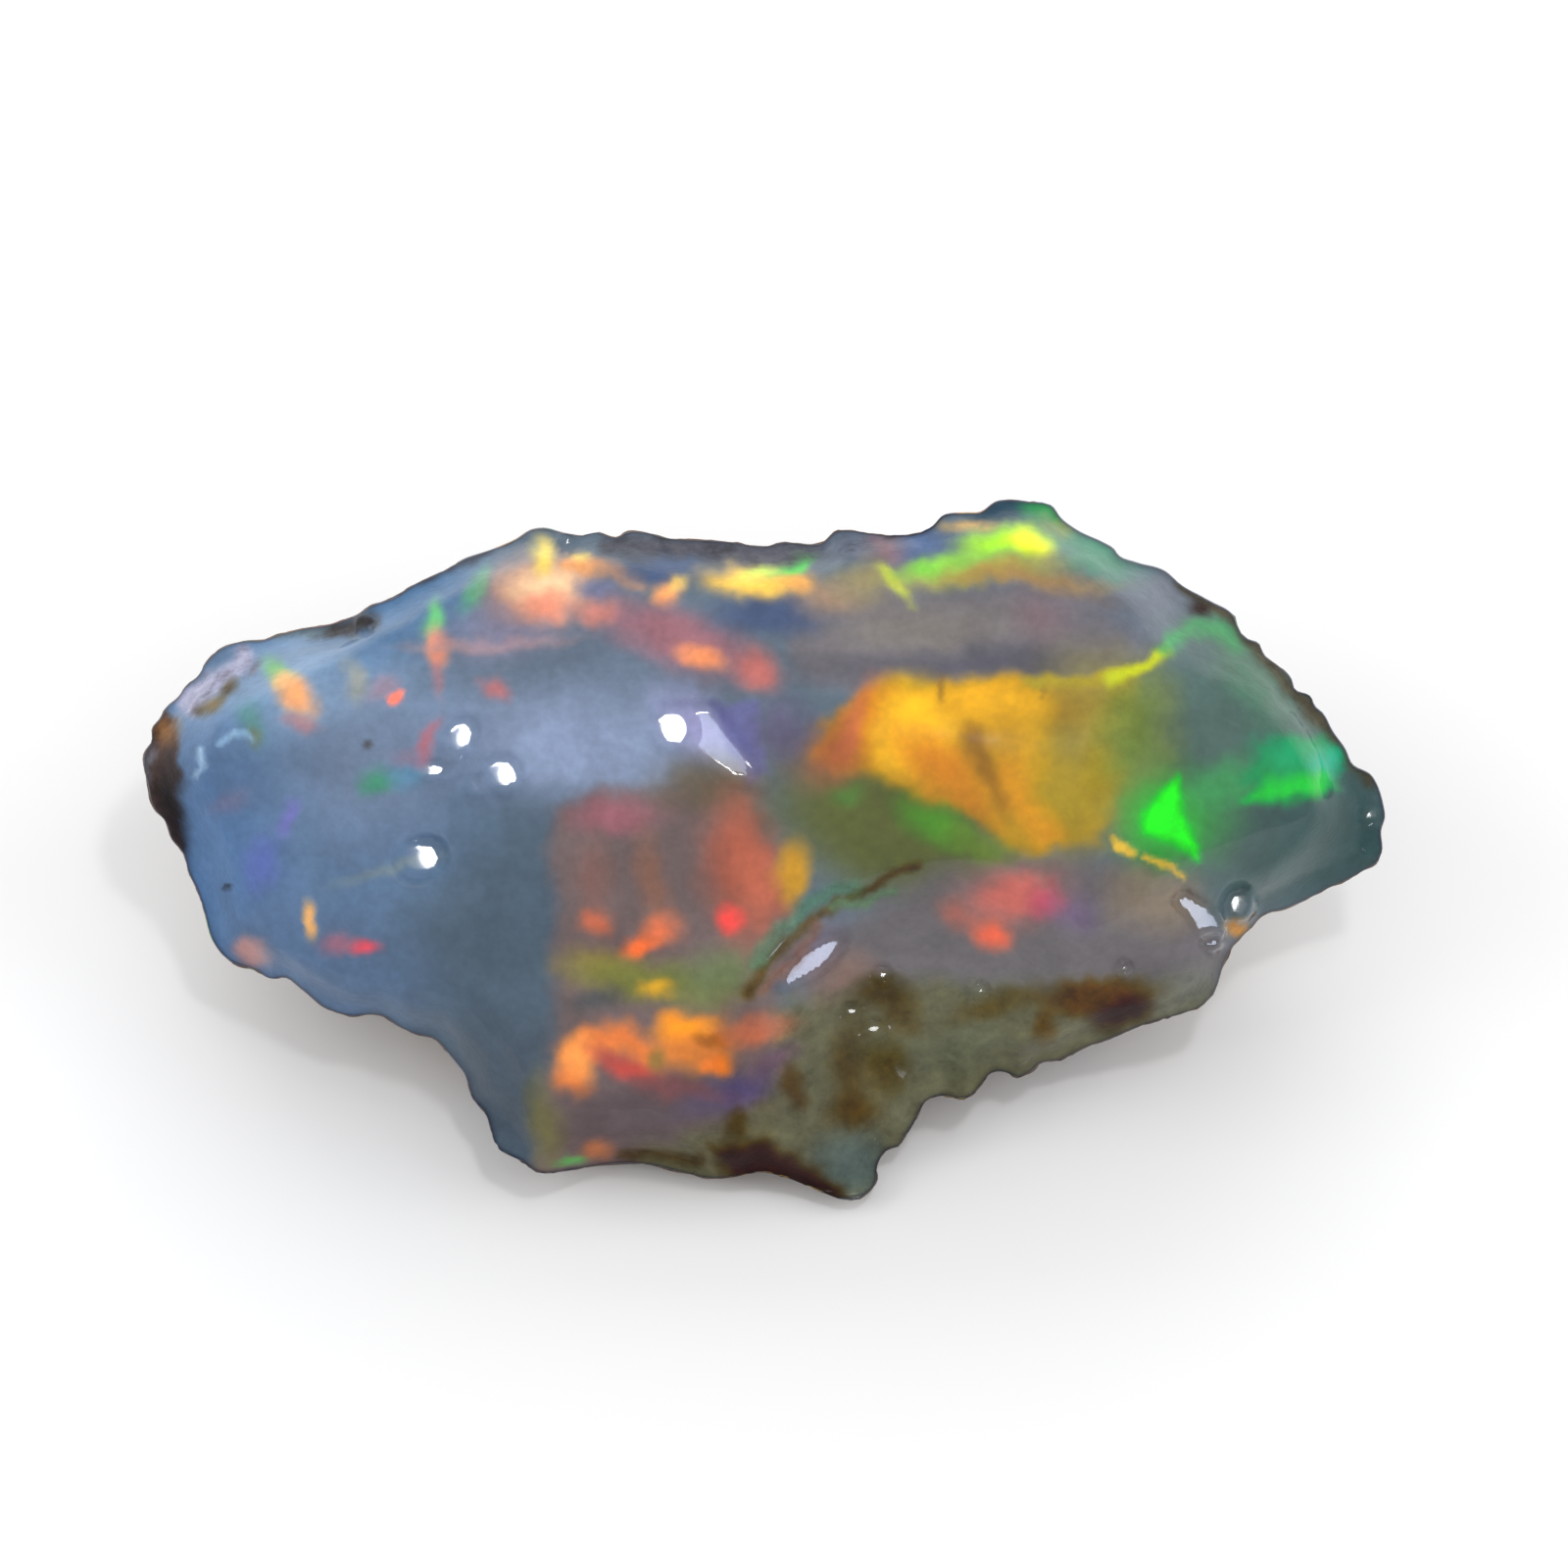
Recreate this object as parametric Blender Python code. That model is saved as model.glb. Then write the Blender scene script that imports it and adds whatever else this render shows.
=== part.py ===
"""Rough Ethiopian opal: one broken lump, glossy on top, with a pitted crust under it.

The lump is drawn as it is looked at. u runs to the right and v up across the line of sight,
and w comes towards the eye, all in millimetres. Seen so, the stone is an outline with a front
and a back. Each of those is made of broken faces that meet in soft edges, and the two meet
along a belt behind the outline. The lump is then tipped back on to the flat face it lies on.
"""

import math

import bmesh
import bpy
import numpy as np
from mathutils import Vector
from mathutils import noise
from mathutils.geometry import delaunay_2d_cdt

NAME = "opal"
MM = 0.001

# How far above the horizon the eye is, in degrees
LOOK_DOWN = 60.0
# Height of the flat face under the stone, measured before it is set down on it
REST_HEIGHT = -4.3

# Outline of the stone across the line of sight, clockwise from the lower left
CRUSTED_EDGE = [
    (-11.80, -0.48), (-11.90, -0.12), (-12.14, 0.18), (-12.24, 0.48), (-12.50, 0.84),
    (-12.60, 1.30), (-12.70, 1.66), (-12.68, 1.92), (-12.56, 2.16), (-12.53, 2.46),
    (-12.38, 2.64), (-12.24, 2.88), (-12.02, 3.08),
]
UPPER_LEFT_EDGE = [
    (-11.86, 3.30), (-11.62, 3.50), (-11.46, 3.76), (-11.10, 4.10), (-10.56, 4.25),
    (-10.30, 4.25), (-9.90, 4.38), (-9.46, 4.49), (-8.96, 4.56), (-8.36, 4.76),
    (-8.00, 4.96), (-7.64, 5.08), (-7.10, 5.40), (-6.56, 5.66), (-6.10, 5.92),
    (-5.60, 6.09), (-5.08, 6.31), (-4.74, 6.51), (-4.54, 6.54),
]
TOP_EDGE = [
    (-4.06, 6.43), (-3.76, 6.39), (-3.46, 6.46), (-2.98, 6.35), (-2.86, 6.42),
    (-2.38, 6.44), (-2.10, 6.36), (-1.16, 6.28), (-0.56, 6.24), (-0.08, 6.16),
    (0.36, 6.24), (1.22, 6.26), (1.44, 6.46), (1.72, 6.49), (2.18, 6.42),
    (3.06, 6.41), (3.40, 6.54), (3.64, 6.78), (4.10, 6.84), (4.40, 6.86),
    (4.72, 7.08), (5.44, 7.08), (5.88, 7.00),
]
CHIPPED_EDGE = [
    (6.08, 6.74), (6.40, 6.50), (6.94, 6.24), (7.14, 6.12), (7.24, 5.98), (7.60, 5.84),
    (8.20, 5.66), (8.52, 5.38), (9.10, 5.06), (9.60, 4.74), (9.68, 4.54), (9.80, 4.32),
    (10.12, 4.16), (10.24, 3.92), (10.44, 3.78), (10.78, 3.42), (10.82, 3.26),
    (11.16, 3.08), (11.24, 2.90), (11.40, 2.76), (11.60, 2.40), (11.88, 2.00),
    (12.00, 1.72), (12.40, 1.48),
]
TIP_EDGE = [
    (12.48, 1.36), (12.64, 0.90), (12.68, 0.64), (12.60, 0.34), (12.62, -0.06),
    (12.56, -0.26), (12.20, -0.52), (11.56, -0.84), (11.00, -1.12), (10.50, -1.31),
    (10.20, -1.38), (9.88, -1.72), (9.56, -2.04), (9.40, -2.34), (9.20, -2.94),
    (8.98, -3.20),
]
MATRIX_EDGE = [
    (8.40, -3.44), (7.64, -3.66), (7.10, -3.90), (6.56, -4.10), (6.00, -4.36),
    (5.66, -4.42), (5.40, -4.62), (5.16, -4.70), (4.96, -4.60), (4.64, -4.60),
    (4.46, -4.80), (4.22, -5.07), (4.06, -5.12), (3.54, -5.07), (3.26, -5.22),
    (3.14, -5.46), (2.88, -5.90), (2.78, -6.07), (2.50, -6.18), (2.32, -6.44),
    (2.26, -6.88), (1.94, -7.16), (1.64, -7.18),
]
BOTTOM_EDGE = [
    (1.16, -7.02), (0.36, -6.70), (0.00, -6.62), (-0.60, -6.72), (-1.16, -6.76),
    (-1.70, -6.64), (-2.30, -6.50), (-3.02, -6.46), (-3.80, -6.56), (-4.68, -6.58),
    (-4.92, -6.40), (-5.46, -6.08), (-5.56, -5.84), (-5.66, -5.48), (-5.96, -5.10),
    (-6.12, -4.64), (-6.36, -4.32), (-6.78, -3.90),
]
LOWER_LEFT_EDGE = [
    (-7.12, -3.82), (-7.40, -3.70), (-7.76, -3.46), (-8.56, -3.43), (-8.94, -3.30),
    (-9.46, -2.90), (-9.80, -2.66), (-10.08, -2.70), (-10.36, -2.54), (-10.94, -2.32),
    (-11.30, -1.88), (-11.46, -1.34), (-11.62, -0.86),
]
OUTLINE = (CRUSTED_EDGE + UPPER_LEFT_EDGE + TOP_EDGE + CHIPPED_EDGE
           + TIP_EDGE + MATRIX_EDGE + BOTTOM_EDGE + LOWER_LEFT_EDGE)

# Broken faces of the front: a point (u, v, w) on each, how it climbs along u and along v,
# and how much it bulges. A negative bulge is a shell-shaped hollow.
FRONT_FACES = {
    "left lobe": (-7.6, 1.6, 2.90, 0.10, 0.02, 0.030),
    "lower left slope": (-8.6, -3.2, 0.50, 0.34, 0.36, 0.000),
    "upper left slope": (-8.4, 4.8, 1.10, 0.30, -0.62, 0.020),
    "top slope": (-1.0, 6.3, 0.90, 0.02, -0.58, 0.020),
    "middle": (-2.5, 2.5, 2.95, 0.03, -0.12, 0.015),
    "middle hollow": (-1.8, -0.9, 2.05, 0.00, 0.10, -0.080),
    "bottom slope": (-1.4, -4.4, 1.70, 0.04, 0.42, 0.020),
    "roof": (4.8, 5.0, 2.05, -0.02, -0.62, 0.000),
    "golden face": (4.6, 1.6, 3.05, 0.03, 0.06, 0.010),
    "tip slope": (10.0, 1.0, 1.95, -0.36, -0.06, 0.015),
    "shell hollow": (3.9, -4.6, 0.05, 0.03, 0.27, -0.085),
    "lower right slope": (6.6, -2.2, 1.75, -0.06, 0.52, -0.010),
    "matrix side": (5.0, -3.8, 0.85, -0.42, 0.80, -0.040),
    "tip underside": (11.0, -1.1, 0.45, -0.52, 0.62, -0.020),
    "chipped side": (9.3, 4.9, 0.35, -0.58, -0.68, -0.010),
    "foot side": (2.3, -6.4, 0.35, -0.70, 0.30, -0.300),
    "lower left end": (-5.7, -5.4, 0.40, 0.60, 0.25, -0.250),
}
# Broken faces of the back, in the same way
BACK_FACES = {
    "upper back": (-1.0, 4.0, -4.10, 0.04, 0.42, 0.000),
    "upper left back": (-8.5, 3.6, -3.40, -0.35, 0.50, 0.010),
    "upper right back": (8.5, 2.5, -3.20, 0.42, 0.25, 0.010),
    "left back": (-10.5, 0.5, -3.20, -0.80, 0.10, 0.000),
    "lower left back": (-8.5, -2.2, -2.80, -0.54, -0.58, 0.000),
    "lower right back": (9.5, -1.6, -2.70, 0.48, -0.64, 0.000),
    "right end back": (11.4, 0.6, -2.40, 0.80, 0.00, 0.000),
    "back scoop": (-3.2, 5.2, -2.60, 0.10, 0.45, -0.220),
    "back ledge": (4.9, 4.4, -2.90, -0.10, 0.55, -0.150),
    "left scoop": (-9.8, -0.9, -2.40, -0.60, -0.20, -0.250),
    "right scoop": (8.6, 0.2, -3.00, 0.50, -0.10, -0.200),
}
# How far from its point a bulging face levels off
BULGE_REACH = 6.0
FRONT_SOFTNESS = 0.10
BACK_SOFTNESS = 0.18

# Bites out of the front beside the outline: where (u, v), how wide and how deep
CHIPS = [
    (-11.9, 2.3, 0.70, 0.30), (-10.1, -2.6, 0.60, 0.30), (-5.5, -5.7, 0.70, 0.35),
    (1.2, 6.3, 0.60, 0.40), (3.4, 6.5, 0.55, 0.40), (7.3, 6.0, 0.60, 0.40),
    (8.5, 5.4, 0.60, 0.35), (9.8, 4.4, 0.60, 0.55), (10.3, 3.9, 0.50, 0.45),
    (10.9, 3.3, 0.55, 0.55), (11.3, 2.9, 0.50, 0.40), (12.0, 1.7, 0.60, 0.50),
    (9.9, -1.6, 0.60, 0.40), (4.8, -4.5, 0.65, 0.60), (3.6, -5.0, 0.70, 0.55),
    (2.5, -6.1, 0.65, 0.55), (0.0, -6.6, 0.60, 0.30),
]

# The belt where front and back meet: its height, how it lifts towards the bottom and waves
# along the stone, and how far above the rest face it stays
BELT_HEIGHT = -0.90
BELT_LIFT_FROM = -3.0
BELT_LIFT = 0.04
BELT_WAVE = 1.50
BELT_WAVE_SIZE = 3.1
BELT_SEED = 4.5
BELT_CLEAR = 0.40
# The rounded rim beside the outline: its radius, how steeply it goes on at the gentlest and
# the steepest, how soon it ends further in, and the least it rises
RIM_RADIUS = 0.30
RIM_STEEPNESS = (0.9, 3.4)
RIM_USUAL = 0.55
RIM_VARIES_OVER = 3.0
RIM_SEEDS = {"front": 9.5, "back": 2.5}
RIM_ENDS = 0.8
RIM_LEAST = 0.20
RIM_SOFTNESS = 0.10
# Further in, the sides follow the outline without its notches: over what stretch it is evened
# out, how far in that holds, and how much of the true distance is left
CALM_STRETCH = 1.6
CALM_FROM = 0.9
CALM_LEAST = 0.35

# Lumps over the stone: how wide, how high and which ones. They fade out towards the outline.
FRONT_LUMPS = (2.6, 0.06, 1.5)
CRUST_LUMPS = (3.6, 0.60, 7.5)
CRUST_GRAIN = (1.1, 0.08, 3.5)
LUMPS_FADE = 0.8

# The broken sides and the crust: shell-shaped scoops and smaller knobs, and how wide and deep
SCOOP = 1.9
SCOOP_RIDGE = 0.75
SCOOP_DEPTH = 0.34
KNOB = 0.9
KNOB_DEPTH = 0.20
# How far from the belt and the outline they reach their full depth, and where they end in front
BROKEN_FROM_BELT = 0.45
BROKEN_FROM_RIM = 0.35
BROKEN_REACH = 1.2

# Pits in the crust: how many, and their smallest and largest width and depth
PITS = 46
PIT_WIDTHS = (0.5, 1.3)
PIT_DEPTHS = (0.12, 0.32)
PIT_SEED = 11

# Size of the triangles
RIM_STEP = 0.33
FRONT_STEP = 0.37
BACK_STEP = 0.42
RINGS = (0.10, 0.26, 0.48)
JITTER = 0.16
JITTER_SEED = 5
CURVE_STEPS = 12
ON_RIM = 1e-4
SAME_SPOT = 1e-7
SHARP_ANGLE = 40.0

OPAL_BLUE = (0.13, 0.20, 0.27, 1.0)
OPAL_ROUGHNESS = 0.12


def smooth_loop(points, spacing):
    """A closed smooth curve through the points, as new points a spacing apart."""
    here = np.array(points)
    ahead = np.roll(here, -1, axis=0)
    behind = np.roll(here, 1, axis=0)
    step = np.linalg.norm(ahead - here, axis=1)[:, None]
    last_step = np.roll(step, 1, axis=0)
    lean = (here - behind) / last_step * step + (ahead - here) / step * last_step
    tangent = lean / (step + last_step)
    next_tangent = np.roll(tangent, -1, axis=0)
    t = (np.arange(CURVE_STEPS) / CURVE_STEPS)[None, :, None]
    curve = ((2 * t**3 - 3 * t**2 + 1) * here[:, None]
             + (t**3 - 2 * t**2 + t) * (tangent * step)[:, None]
             + (3 * t**2 - 2 * t**3) * ahead[:, None]
             + (t**3 - t**2) * (next_tangent * step)[:, None]).reshape(-1, 2)
    closed = np.vstack([curve, curve[:1]])
    along = np.concatenate([[0.0], np.cumsum(np.linalg.norm(np.diff(closed, axis=0), axis=1))])
    count = int(round(along[-1] / spacing))
    stops = np.arange(count) * along[-1] / count
    return np.column_stack([np.interp(stops, along, closed[:, axis]) for axis in (0, 1)])


def edge_distance(spots, rim):
    """How far each spot is from the outline."""
    nearest = np.full(len(spots), np.inf)
    for start, end in zip(rim, np.roll(rim, -1, axis=0)):
        side = end - start
        along = np.clip((spots - start) @ side / (side @ side), 0.0, 1.0)
        gap = spots - start - along[:, None] * side
        nearest = np.minimum(nearest, np.hypot(gap[:, 0], gap[:, 1]))
    return nearest


def calmed(rim):
    """The outline with its notches evened out."""
    step = np.linalg.norm(rim[1] - rim[0])
    reach = int(round(CALM_STRETCH / step))
    return np.mean([np.roll(rim, shift, axis=0) for shift in range(-reach, reach + 1)], axis=0)


def inside(spots, rim):
    """Which spots lie within the outline."""
    odd = np.zeros(len(spots), dtype=bool)
    for (u0, v0), (u1, v1) in zip(rim, np.roll(rim, -1, axis=0)):
        if v0 == v1:
            continue
        crosses = (v0 > spots[:, 1]) != (v1 > spots[:, 1])
        reach = u0 + (spots[:, 1] - v0) * (u1 - u0) / (v1 - v0)
        odd ^= crosses & (spots[:, 0] < reach)
    return odd


def soft_least(heights, softness):
    """The least of several heights, with soft edges where they meet."""
    least = heights.min(axis=0)
    return least - softness * np.log(np.exp((least - heights) / softness).sum(axis=0))


def face_heights(spots, faces, outward):
    """The height of each broken face over each spot. A bulge levels off, a hollow keeps on."""
    rows = []
    for u, v, w, climb_u, climb_v, bulge in faces.values():
        du = spots[:, 0] - u
        dv = spots[:, 1] - v
        away = du**2 + dv**2
        if bulge > 0:
            away = away / (1 + away / BULGE_REACH**2)
        rows.append(w + climb_u * du + climb_v * dv - outward * bulge * away)
    return np.array(rows)


def lumps(spots, size, height, seed):
    """Natural lumps of a size across, up to about that height up and down."""
    return height * np.array([noise.noise(Vector((u / size, v / size, seed))) for u, v in spots])


def belt(spots):
    """The height of the belt, which lifts towards the bottom and waves along the stone."""
    low = np.maximum(0.0, BELT_LIFT_FROM - spots[:, 1])
    height = BELT_HEIGHT + BELT_LIFT * low**2
    height = height + lumps(spots, BELT_WAVE_SIZE, BELT_WAVE, BELT_SEED)
    return np.maximum(height, rest_plane(spots) + BELT_CLEAR)


def depths(spots, rim):
    """How far in each spot lies, from the outline and from the outline without its notches."""
    calm = calmed(rim)
    within = np.where(inside(spots, calm), 1.0, 0.0)
    return edge_distance(spots, rim), within * edge_distance(spots, calm)


def rim_rise(spots, distance, calm, side):
    """How far the surface may stand off the belt near the outline, here steep, there gentle."""
    turned = np.clip(distance / RIM_RADIUS, 0.0, 1.0)
    rounded = RIM_RADIUS * np.sqrt(1.0 - (1.0 - turned)**2)
    gentle, steep = RIM_STEEPNESS
    share = np.clip(RIM_USUAL + lumps(spots, RIM_VARIES_OVER, 1.0, RIM_SEEDS[side]), 0.0, 1.0)
    on = np.maximum(0.0, distance - RIM_RADIUS / 2)
    settled = np.clip(distance / CALM_FROM, 0.0, 1.0)
    on = on + settled * (np.maximum(calm, CALM_LEAST * on) - on)
    return rounded + (gentle + (steep - gentle) * share) * on + RIM_ENDS * on**2


def front_height(spots, distance, calm):
    """The front of the stone over each spot."""
    height = soft_least(face_heights(spots, FRONT_FACES, 1), FRONT_SOFTNESS)
    for u, v, width, depth in CHIPS:
        reach = np.hypot(spots[:, 0] - u, spots[:, 1] - v) / width
        height = height - depth * np.maximum(0.0, 1.0 - reach**2)
    fade = np.clip(distance / LUMPS_FADE, 0.0, 1.0)
    height = height + fade * lumps(spots, *FRONT_LUMPS)
    low = belt(spots)
    rise = rim_rise(spots, distance, calm, "front")
    height = soft_least(np.array([height, low + rise]), RIM_SOFTNESS)
    return np.maximum(height, low + RIM_LEAST * np.minimum(1.0, rise))


def rest_plane(spots):
    """The flat face that the stone lies on, as a height towards the eye."""
    tilt = math.radians(LOOK_DOWN)
    return (REST_HEIGHT - spots[:, 1] * math.cos(tilt)) / math.sin(tilt)


def pit_depth(spots):
    """How deep the crust's pits are at each spot."""
    draw = np.random.default_rng(PIT_SEED)
    depth = np.zeros(len(spots))
    for _ in range(PITS):
        u = draw.uniform(-12.0, 12.0)
        v = draw.uniform(-6.0, 6.0)
        width = draw.uniform(*PIT_WIDTHS)
        deep = draw.uniform(*PIT_DEPTHS)
        reach = np.hypot(spots[:, 0] - u, spots[:, 1] - v) / width
        depth = np.maximum(depth, deep * np.maximum(0.0, 1.0 - reach**2))
    return depth


def back_height(spots, distance, calm):
    """The back of the stone over each spot, cut off flat where it rests."""
    height = -soft_least(-face_heights(spots, BACK_FACES, -1), BACK_SOFTNESS)
    fade = np.clip(distance / LUMPS_FADE, 0.0, 1.0)
    crust = lumps(spots, *CRUST_LUMPS) + lumps(spots, *CRUST_GRAIN) + pit_depth(spots)
    height = height + fade * crust
    low = belt(spots)
    rise = rim_rise(spots, distance, calm, "back")
    height = -soft_least(-np.array([height, low - rise]), RIM_SOFTNESS)
    height = np.minimum(height, low - RIM_LEAST * np.minimum(1.0, rise))
    return np.maximum(height, rest_plane(spots))


def scattered(rim, spacing, seed):
    """Spots over the outline: rings beside the rim, and a loose grid inside them."""
    along = np.roll(rim, -1, axis=0) - np.roll(rim, 1, axis=0)
    inward = np.column_stack([along[:, 1], -along[:, 0]]) / np.linalg.norm(along, axis=1)[:, None]
    layers = []
    for depth in RINGS:
        ring = rim + inward * depth
        layers.append(ring[edge_distance(ring, rim) > 0.9 * depth])
    draw = np.random.default_rng(seed)
    rows = np.arange(rim[:, 1].min(), rim[:, 1].max(), spacing * math.sqrt(3) / 2)
    columns = np.arange(rim[:, 0].min(), rim[:, 0].max(), spacing)
    u, v = np.meshgrid(columns, rows)
    u = u + spacing / 2 * (np.arange(len(rows)) % 2)[:, None]
    grid = np.column_stack([u.ravel(), v.ravel()])
    grid = grid + draw.uniform(-JITTER, JITTER, grid.shape) * spacing
    grid = grid[inside(grid, rim)]
    layers.append(grid[edge_distance(grid, rim) > RINGS[-1] + 0.5 * spacing])
    spots = np.vstack(layers)
    return spots[inside(spots, rim)]


def skin(rim, spacing, seed, height_of):
    """One side of the stone: its points (u, v, w) and its triangles."""
    spots = np.vstack([rim, scattered(rim, spacing, seed)])
    around = [(i, (i + 1) % len(rim)) for i in range(len(rim))]
    result = delaunay_2d_cdt([Vector(spot) for spot in spots], around, [], 0, SAME_SPOT, False)
    flat = np.array([tuple(point) for point in result[0]])
    triangles = np.array(result[2])
    triangles = triangles[inside(flat[triangles].mean(axis=1), rim)]
    distance, calm = depths(flat, rim)
    height = np.where(distance < ON_RIM, belt(flat), height_of(flat, distance, calm))
    return np.column_stack([flat, height]), triangles.tolist()


def broken_depth(place):
    """How deep the broken surface lies at a point, with scoops like bowls and ridges between."""
    nearest = noise.voronoi(place / SCOOP)[0][0]
    scoop = 1.0 - min(1.0, nearest / SCOOP_RIDGE)**2
    knob = 0.5 + 0.5 * noise.noise(place / KNOB)
    return SCOOP_DEPTH * scoop + KNOB_DEPTH * knob


def weather(stone, rim):
    """Eat the stone away inwards, but not on its glossy front, its belt or its rest face."""
    stone.normal_update()
    places = np.array([corner.co for corner in stone.verts])
    spots = places[:, :2]
    distance = edge_distance(spots, rim)
    low = belt(spots)
    off_belt = np.clip(np.abs(places[:, 2] - low) / BROKEN_FROM_BELT, 0.0, 1.0)
    off_rim = np.clip(distance / BROKEN_FROM_RIM, 0.0, 1.0)
    beside_rim = np.clip(1.0 - distance / BROKEN_REACH, 0.0, 1.0)
    broken = np.where(places[:, 2] > low, beside_rim, 1.0) * off_belt * off_rim
    floor = rest_plane(spots)
    for corner, share, lowest in zip(stone.verts, broken, floor):
        if corner.co.z < lowest + ON_RIM:
            continue
        corner.co -= corner.normal * share * broken_depth(corner.co)
        corner.co.z = max(corner.co.z, lowest)


def tipped(place):
    """A point of the drawn stone, in millimetres, as a place in the world."""
    tilt = math.radians(LOOK_DOWN)
    u, v, w = place
    y = v * math.sin(tilt) - w * math.cos(tilt)
    z = v * math.cos(tilt) + w * math.sin(tilt)
    return Vector((u, y, z - REST_HEIGHT)) * MM


def opal_material():
    """Milky blue opal, glossy where it is broken."""
    material = bpy.data.materials.new("milky opal")
    material.use_nodes = True
    shader = material.node_tree.nodes["Principled BSDF"]
    shader.inputs["Base Color"].default_value = OPAL_BLUE
    shader.inputs["Roughness"].default_value = OPAL_ROUGHNESS
    shader.inputs["Metallic"].default_value = 0.0
    return material


def build_opal():
    """The whole stone as one closed solid."""
    rim = smooth_loop(OUTLINE, RIM_STEP)
    stone = bmesh.new()
    for spacing, seed, height_of, turned in ((FRONT_STEP, JITTER_SEED, front_height, False),
                                             (BACK_STEP, JITTER_SEED + 1, back_height, True)):
        points, triangles = skin(rim, spacing, seed, height_of)
        corners = [stone.verts.new(point) for point in points]
        for triangle in triangles:
            loop = [corners[i] for i in triangle]
            stone.faces.new(loop[::-1] if turned else loop)
    bmesh.ops.remove_doubles(stone, verts=stone.verts, dist=ON_RIM)
    weather(stone, rim)
    for corner in stone.verts:
        corner.co = tipped(corner.co)
    places = np.array([corner.co for corner in stone.verts])
    middle = (places.min(axis=0) + places.max(axis=0)) / 2
    bmesh.ops.translate(stone, verts=stone.verts, vec=(-middle[0], -middle[1], 0.0))
    bmesh.ops.recalc_face_normals(stone, faces=stone.faces)

    mesh = bpy.data.meshes.new(NAME)
    stone.to_mesh(mesh)
    stone.free()
    mesh.shade_smooth()
    mesh.set_sharp_from_angle(angle=math.radians(SHARP_ANGLE))
    mesh.materials.append(opal_material())
    opal = bpy.data.objects.new(NAME, mesh)
    bpy.context.collection.objects.link(opal)
    return opal


def main():
    for thing in list(bpy.data.objects):
        bpy.data.objects.remove(thing)
    build_opal()


main()
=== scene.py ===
"""Looks of a rough Ethiopian opal: milky blue-grey stone with fixed flashes of colour, glossy on
its broken faces, and a brown pitted rind on its sides and underside.

The stone is drawn as it is looked at. u runs to the right and v up across the line of sight,
and w comes towards the eye, all in millimetres. It is then tipped back on to its rest face.
"""

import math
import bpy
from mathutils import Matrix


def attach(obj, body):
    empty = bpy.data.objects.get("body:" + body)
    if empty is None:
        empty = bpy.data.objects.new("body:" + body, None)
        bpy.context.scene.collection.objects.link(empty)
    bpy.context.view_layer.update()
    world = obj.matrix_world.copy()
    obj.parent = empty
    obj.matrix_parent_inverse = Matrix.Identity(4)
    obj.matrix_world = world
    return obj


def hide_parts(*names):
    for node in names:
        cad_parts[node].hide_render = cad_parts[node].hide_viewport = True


bl_info = {
    "name": "Rough opal",
    "version": (1, 0, 0),
    "blender": (4, 5, 0),
    "location": "3D View > Sidebar > Opal",
    "description": "Makes a rough opal with flashes of colour, and the stage it is shown on",
    "category": "Add Mesh",
}

import bmesh
import bpy
import numpy as np
from mathutils import Vector
from mathutils import noise
from mathutils.geometry import delaunay_2d_cdt

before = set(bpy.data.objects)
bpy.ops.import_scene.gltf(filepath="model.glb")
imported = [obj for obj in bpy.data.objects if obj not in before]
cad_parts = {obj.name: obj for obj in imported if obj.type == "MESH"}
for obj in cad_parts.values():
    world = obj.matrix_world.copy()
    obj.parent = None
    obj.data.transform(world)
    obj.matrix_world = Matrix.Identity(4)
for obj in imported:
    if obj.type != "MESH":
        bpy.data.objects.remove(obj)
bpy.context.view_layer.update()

MM = 0.001

# How far above the horizon the eye is, in degrees, and the height of the flat face under the
# stone before it is set down on it
LOOK_DOWN = 60.0
REST_HEIGHT = -4.3
# The place that the eye looks at
AIM = (0.4, 1.3, -0.5)

# Outline of the stone across the line of sight, clockwise from the lower left
CRUSTED_EDGE = [
    (-11.80, -0.48), (-11.90, -0.12), (-12.14, 0.18), (-12.24, 0.48), (-12.50, 0.84),
    (-12.60, 1.30), (-12.70, 1.66), (-12.68, 1.92), (-12.56, 2.16), (-12.53, 2.46),
    (-12.38, 2.64), (-12.24, 2.88), (-12.02, 3.08),
]
UPPER_LEFT_EDGE = [
    (-11.86, 3.30), (-11.62, 3.50), (-11.46, 3.76), (-11.10, 4.10), (-10.56, 4.25),
    (-10.30, 4.25), (-9.90, 4.38), (-9.46, 4.49), (-8.96, 4.56), (-8.36, 4.76),
    (-8.00, 4.96), (-7.64, 5.08), (-7.10, 5.40), (-6.56, 5.66), (-6.10, 5.92),
    (-5.60, 6.09), (-5.08, 6.31), (-4.74, 6.51), (-4.54, 6.54),
]
TOP_EDGE = [
    (-4.06, 6.43), (-3.76, 6.39), (-3.46, 6.46), (-2.98, 6.35), (-2.86, 6.42),
    (-2.38, 6.44), (-2.10, 6.36), (-1.16, 6.28), (-0.56, 6.24), (-0.08, 6.16),
    (0.36, 6.24), (1.22, 6.26), (1.44, 6.46), (1.72, 6.49), (2.18, 6.42),
    (3.06, 6.41), (3.40, 6.54), (3.64, 6.78), (4.10, 6.84), (4.40, 6.86),
    (4.72, 7.08), (5.44, 7.08), (5.88, 7.00),
]
CHIPPED_EDGE = [
    (6.08, 6.74), (6.40, 6.50), (6.94, 6.24), (7.14, 6.12), (7.24, 5.98), (7.60, 5.84),
    (8.20, 5.66), (8.52, 5.38), (9.10, 5.06), (9.60, 4.74), (9.68, 4.54), (9.80, 4.32),
    (10.12, 4.16), (10.24, 3.92), (10.44, 3.78), (10.78, 3.42), (10.82, 3.26),
    (11.16, 3.08), (11.24, 2.90), (11.40, 2.76), (11.60, 2.40), (11.88, 2.00),
    (12.00, 1.72), (12.40, 1.48),
]
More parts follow.
